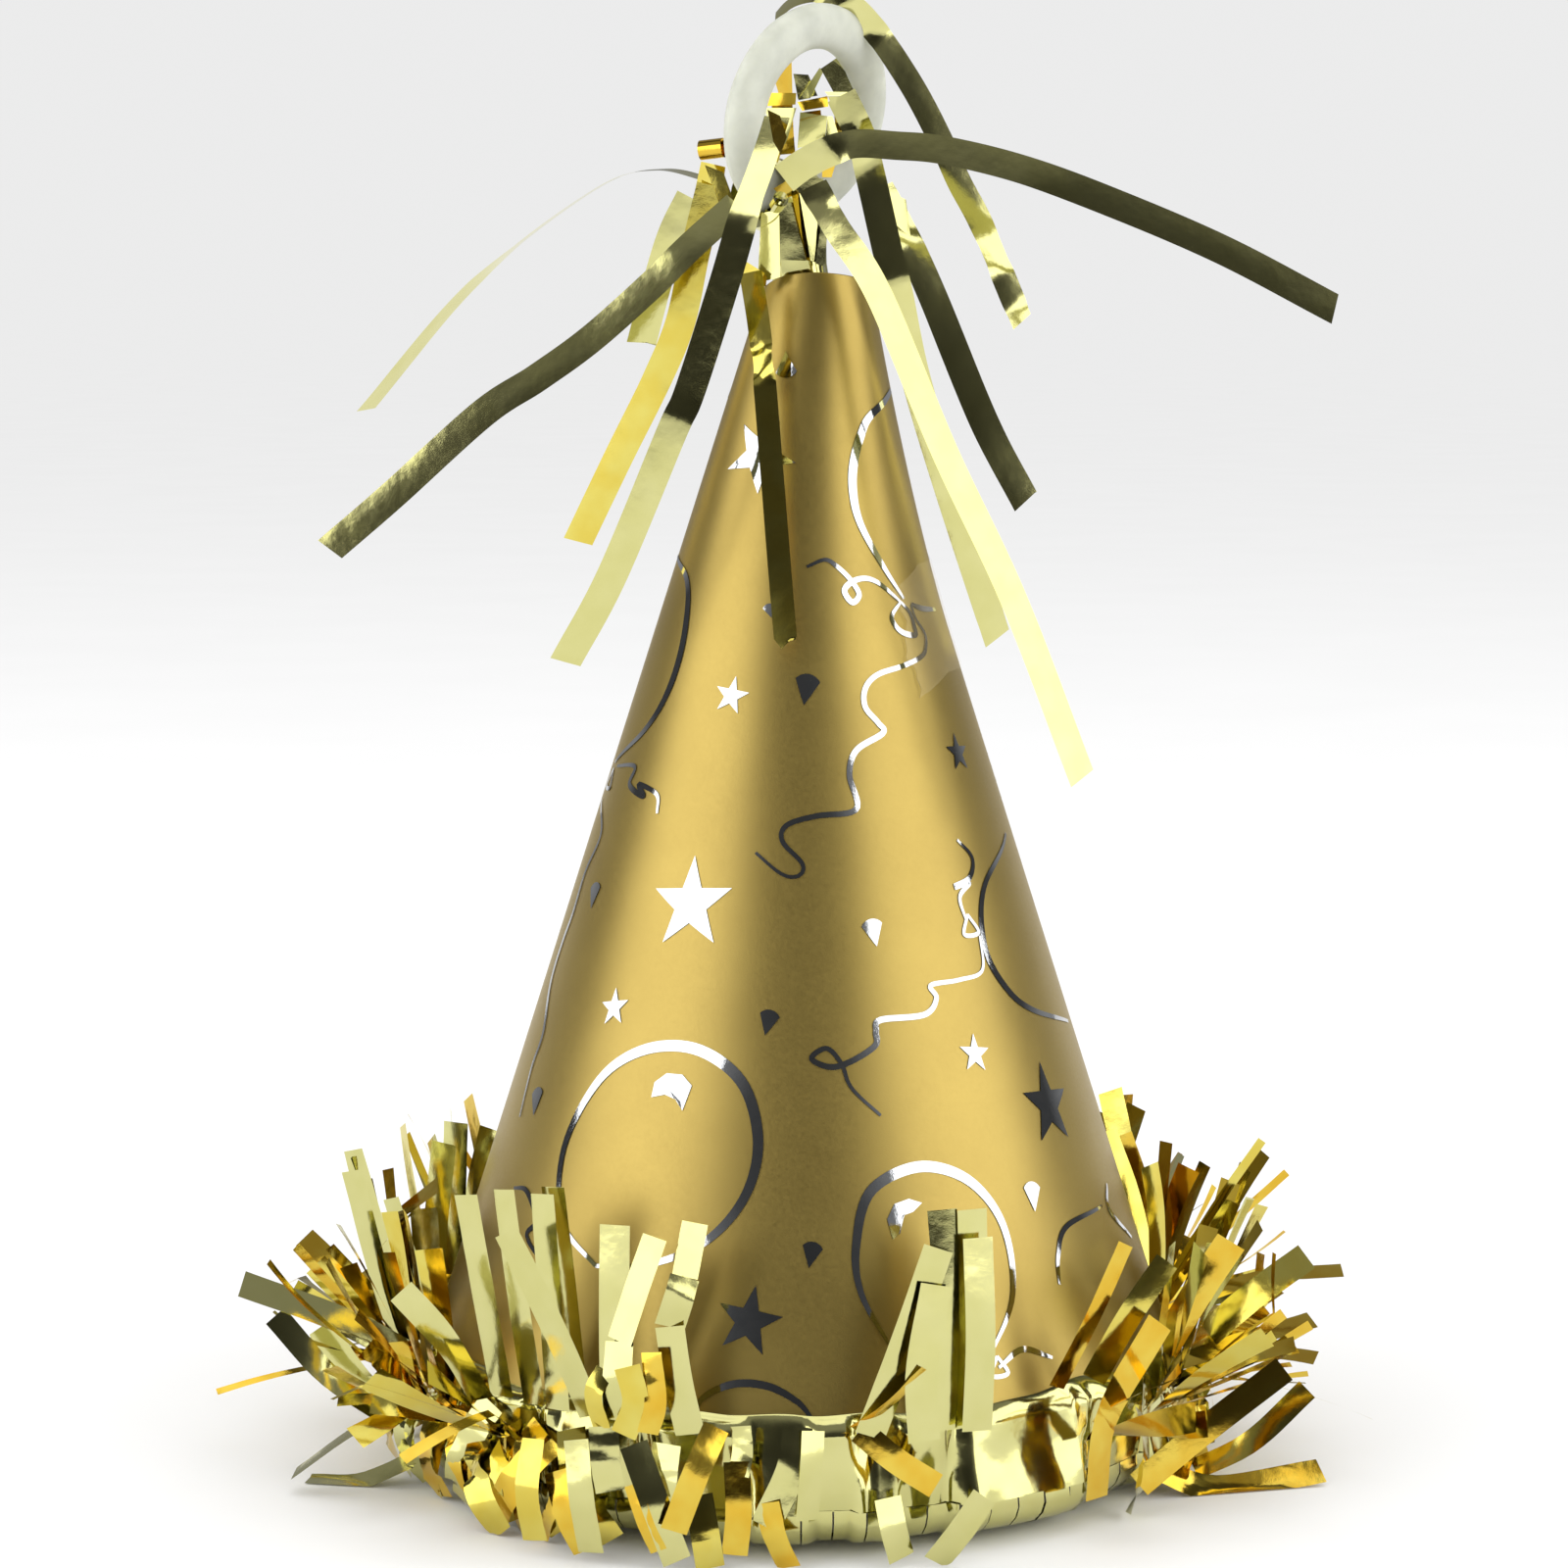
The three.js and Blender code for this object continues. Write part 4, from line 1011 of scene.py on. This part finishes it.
PANELS = {  # corners (x, z) clockwise from the upper left, depth y, (yaw, pitch), finish; the warm and deep finishes are painted bounce light
    "back_gold": ([(-2.7, 148.5), (-0.9, 150.5), (-0.8, 146.9), (-2.3, 147.1)], 4, (-55, -10), DEEP_PAINTED_BOUNCE),
    "back_dark": ([(-0.7, 149.1), (0.9, 149), (1.9, 146.8), (-0.2, 146.4)], 5, (2, 0), PALE),
    "back_thin": ([(2.1, 149.7), (2.5, 149.3), (1.1, 146.4), (-0.2, 146.1)], 3, (52, 6), PALE),
    "back_green": ([(2.2, 149.5), (4.1, 150.8), (5.8, 147.1), (3.6, 147)], 3, (12, 0), PALE),
    "cap_left": ([(-3.5, 146.8), (-0.4, 146.7), (-0.5, 145.5), (-3.6, 145.4)], -2, (-24, 0), DEEP_PAINTED_BOUNCE),
    "face_left": ([(-3.7, 145.2), (-0.4, 145.1), (-1.3, 142), (-2.6, 139.5)], -3, (-38, 6), PALE),
    "leaf": ([(-3.4, 144.6), (-2.1, 143.9), (-1.4, 141.7), (-2.4, 139)], -12.6, (-54, 0), DEEP_PAINTED_BOUNCE),
    "mid_top": ([(-0.3, 145.8), (2.9, 146.5), (3, 145.4), (0.2, 144.9)], -1, (26, 0), DEEP_PAINTED_BOUNCE),
    "mid_face": ([(0, 144.8), (2.9, 144.4), (2.6, 141.7), (-0.3, 140.9)], -2, (10, 40), PALE),
    "cap_right": ([(2.6, 146.8), (5.9, 146.9), (6, 146.5), (2.9, 146.4)], -2, (40, 10), PALE),
    "face_right": ([(2.9, 146.3), (6, 146.4), (8.2, 142.1), (4.8, 142.1)], -3.4, (6, -5), PALE),
    "right_bright": ([(2.9, 144.3), (3.4, 144.3), (4.2, 142), (2.6, 141.7)], -2.5, (40, 8), PALE),
    "under": ([(2.3, 139.3), (3.7, 139.2), (3.3, 137.9), (2.3, 137.9)], -4, (26, -10), DEEP_PAINTED_BOUNCE),
    "neck_left": ([(-4.1, 134.2), (-2.2, 134.5), (-2.1, 127.5), (-4.5, 126.9)], -4, (-38, 4), PALE),
    "neck_mid": ([(-2.1, 135.2), (-0.6, 135.3), (0.7, 129.4), (-2.1, 129.2)], -4.6, (6, 0), PALE),
    "neck_curve": ([(-0.9, 135.9), (0.1, 136.3), (1.4, 129.5), (0.8, 129)], -5, (28, 0), DEEP_PAINTED_BOUNCE),
    "neck_right": ([(-0.1, 136.2), (2.5, 134.6), (1.7, 129), (1.1, 129.2)], -4.8, (40, 6), PALE),
    "neck_edge": ([(2.4, 134.5), (3, 133.9), (2.6, 128.6), (1.6, 128.9)], -4, (56, 0), PALE),
    "neck_foot": ([(-2.1, 129.3), (0.9, 129.2), (0.9, 128.4), (-1.9, 127.9)], -4.8, (0, -4), PALE),
    "triangle": ([(-2.8, 136.7), (-1.2, 137.6), (-0.1, 136.1), (-1.7, 135.6)], -7, (-55, -6), DEEP_PAINTED_BOUNCE),
    "drape": ([(-1, 137.8), (2.4, 137.7), (2.5, 136.8), (0.9, 135.9)], -7.4, (6, 0), PALE),
    "foot_left": ([(-5.8, 129.2), (-3.7, 127.9), (-4.4, 126.9), (-6.3, 126.7)], -4, (-24, -6), WARM_PAINTED_BOUNCE),
    "foot_right": ([(-4.4, 128.2), (-3.5, 127.6), (-3.6, 126.5), (-4.5, 126.7)], -4.5, (-4, 0), PALE),
    "side_pale": ([(9.2, 136.7), (11.3, 135.7), (11.8, 131.7), (10, 133.2)], 1, (38, 4), PALE),
    "gold_left_a": ([(-10.5, 139.7), (-7.9, 139.1), (-8.4, 135.5), (-11.5, 135.3)], 1, (-24, -10), WARM_PAINTED_BOUNCE),
    "gold_left_b": ([(-10.1, 139.3), (-8.1, 138.5), (-6.8, 135), (-8.3, 134.5)], -1, (-14, 6), WARM_PAINTED_BOUNCE),
}


def panel(corners, depth, yaw, pitch, seed):
    """A flat scrap of foil on a leaning plane. From the front its corners stay where they are put."""
    face = toward(yaw, pitch)
    middle = sum((Vector(corner) for corner in corners), Vector((0, 0))) / 4
    upper_left, upper_right, lower_right, lower_left = (Vector(corner) for corner in corners)
    rows = []
    for i in range(9):
        row = []
        for j in range(9):
            spot = upper_left.lerp(upper_right, j / 8).lerp(lower_left.lerp(lower_right, j / 8), i / 8)
            away = spot - middle
            y = depth - (face.x * away.x + face.z * away.y) / face.y
            y += 0.05 * wave(away.x * 0.5, away.y * 0.5, seed)
            row.append(Vector((spot.x, y, spot.y)))
        rows.append(row)
    return rows


def make_panels():
    stand_ins = {"face_left": ["fold_left"], "face_right": ["fold_right"]}
    for n, (name, (corners, depth, (yaw, pitch), finish)) in enumerate(PANELS.items()):
        rows = panel(corners, depth, yaw, pitch, n * 2.3)
        build_sheet(rows, "foil_" + name, finish, replaces=stand_ins.get(name, ()))


CORES = [  # strips behind the panels that join them to the strap: route, width
    ([(-1.6, -0.4, 140.4), (-1.8, -0.6, 143), (-1.9, -0.6, 145.6)], 2.2),
    ([(1.3, 0.6, 140.6), (1.4, 1.2, 143), (1.2, 1.6, 145)], 2),
    ([(4.4, 0, 140.6), (4.8, 0, 143), (4.6, 0, 145.8)], 2.2),
]


def make_cores():
    sheets = Sheets()
    for n, (route, width) in enumerate(CORES):
        ribbon(sheets, route, [(0, 4, 0), (1, -4, 0)], width, steps=16, seed=n * 4.2)
    # The deep tint is painted bounce light.
    sheets.build("foil_cores", DEEP_PAINTED_BOUNCE)


def make_curl(name, centre, radius, width, axis, finish):
    """A strip's end rolled into a small curl."""
    turns = 1.2
    axis = Vector(axis).normalized()
    side = axis.orthogonal().normalized()
    up = axis.cross(side)
    rows = []
    for i in range(41):
        angle = TURN * turns * i / 40
        reach = radius * (1 - 0.3 * i / 40)
        spot = Vector(centre) + side * (reach * cos(angle)) + up * (reach * sin(angle))
        rows.append([spot + axis * (width * (k / 4 - 0.5)) for k in range(5)])
    build_sheet(rows, name, finish)


make_streamers()
make_panels()
make_cores()
# The left curl takes the deep tint, painted bounce light.
make_curl("foil_curl_left", (-9.3, -0.4, 140.9), 1.15, 2.6, (0.94, -0.3, 0.1), DEEP_PAINTED_BOUNCE)
make_curl("foil_curl_neck", (-2.3, -7.0, 135.3), 0.95, 1.8, (0.25, -0.9, 0.35), PALE)


# ---- Stage, lights and camera ----

FLOOR_TONE = 0.76
DAYLIGHT = 1.1  # the world's level for everything that is not a mirror


def make_floor():
    mesh = bpy.data.meshes.new("floor")
    reach = 40.0
    corners = [(-reach, -reach, 0), (reach, -reach, 0), (reach, reach, 0), (-reach, reach, 0)]
    mesh.from_pydata(corners, [], [(0, 1, 2, 3)])
    floor = add_object("floor", mesh)
    look = Look("pale floor", Metallic=0.0, Specular_IOR_Level=0.0)
    look.colour(look.noise(60), [FLOOR_TONE - 0.005] * 3, [FLOOR_TONE + 0.005] * 3)
    look.rough(look.noise(40), 0.9, 1.0)
    mesh.materials.append(look.material)


def add_softbox(name, azimuth, elevation, width, height, power):
    """A soft light a metre from the hat: azimuth 0 is the front and turns to the right."""
    data = bpy.data.lights.new(name, "AREA")
    data.shape = "RECTANGLE"
    data.size, data.size_y = width, height
    data.energy = power
    light = add_object(name, data)
    look = toward(azimuth, elevation)
    target = Vector((0, 0, 0.07))
    light.location = target + look
    light.rotation_euler = look.to_track_quat("Z", "Y").to_euler()
    light.visible_camera = False


def make_world():
    """Pale to the eye and as light. Mirrors see it grey, and dark in front and behind the softboxes."""
    world = bpy.data.worlds.new("studio")
    bpy.context.scene.world = world
    world.use_nodes = True
    tree = world.node_tree
    link = tree.links.new

    def add(kind):
        return tree.nodes.new("ShaderNode" + kind)

    coords = add("TexCoord")
    level = add("VectorMath")
    level.operation = "MULTIPLY"
    level.inputs[1].default_value = (1, 1, 0.6)
    compass = add("VectorMath")
    compass.operation = "NORMALIZE"
    split = add("SeparateXYZ")
    spread = add("MapRange")
    spread.inputs["From Min"].default_value = -1.0
    spread.inputs["From Max"].default_value = 1.0
    ramp = add("ValToRGB")
    stops = [(0.0, 0.028), (0.022, 0.047), (0.05, 0.072), (0.087, 0.21), (0.114, 0.3), (0.52, 0.3),
             (0.57, 0.06), (0.72, 0.06), (0.84, 0.3), (1.0, 0.3)]  # from the front, grey
    while len(ramp.color_ramp.elements) < len(stops):
        ramp.color_ramp.elements.new(0.5)
    for element, (place, grey) in zip(ramp.color_ramp.elements, stops):
        element.position, element.color = place, (grey, grey, grey, 1)
    path = add("LightPath")
    by_camera = add("Mix")
    by_mirror = add("Mix")
    by_camera.data_type = by_mirror.data_type = "RGBA"
    backdrop = FLOOR_TONE * DAYLIGHT
    by_camera.inputs[6].default_value = (DAYLIGHT, DAYLIGHT, DAYLIGHT, 1)
    by_camera.inputs[7].default_value = (backdrop, backdrop, backdrop, 1)
    link(path.outputs["Is Camera Ray"], by_camera.inputs[0])
    link(coords.outputs["Generated"], level.inputs[0])
    link(level.outputs["Vector"], compass.inputs[0])
    link(compass.outputs["Vector"], split.inputs["Vector"])
    link(split.outputs["Y"], spread.inputs["Value"])
    link(spread.outputs["Result"], ramp.inputs["Fac"])
    link(path.outputs["Is Glossy Ray"], by_mirror.inputs[0])
    link(by_camera.outputs[2], by_mirror.inputs[6])
    link(ramp.outputs["Color"], by_mirror.inputs[7])
    link(by_mirror.outputs[2], tree.nodes["Background"].inputs["Color"])
    world.cycles.sampling_method = "NONE"


def make_camera():
    data = bpy.data.cameras.new("camera")
    data.lens = 92.1
    data.sensor_width = 36
    camera = add_object("camera", data)
    camera.location = (-1.7 * MM, -430 * MM, 126 * MM)
    camera.rotation_euler = (radians(83), 0, 0)
    bpy.context.scene.camera = camera


make_floor()
add_softbox("softbox_left", -66, 14, 1.2, 1.05, 8.0)
add_softbox("softbox_right", 68, 14, 1.2, 1.05, 8.0)
add_softbox("softbox_top", 0, 88, 0.6, 0.6, 1.36)
make_world()
make_camera()
bpy.context.scene.view_settings.view_transform = "Standard"
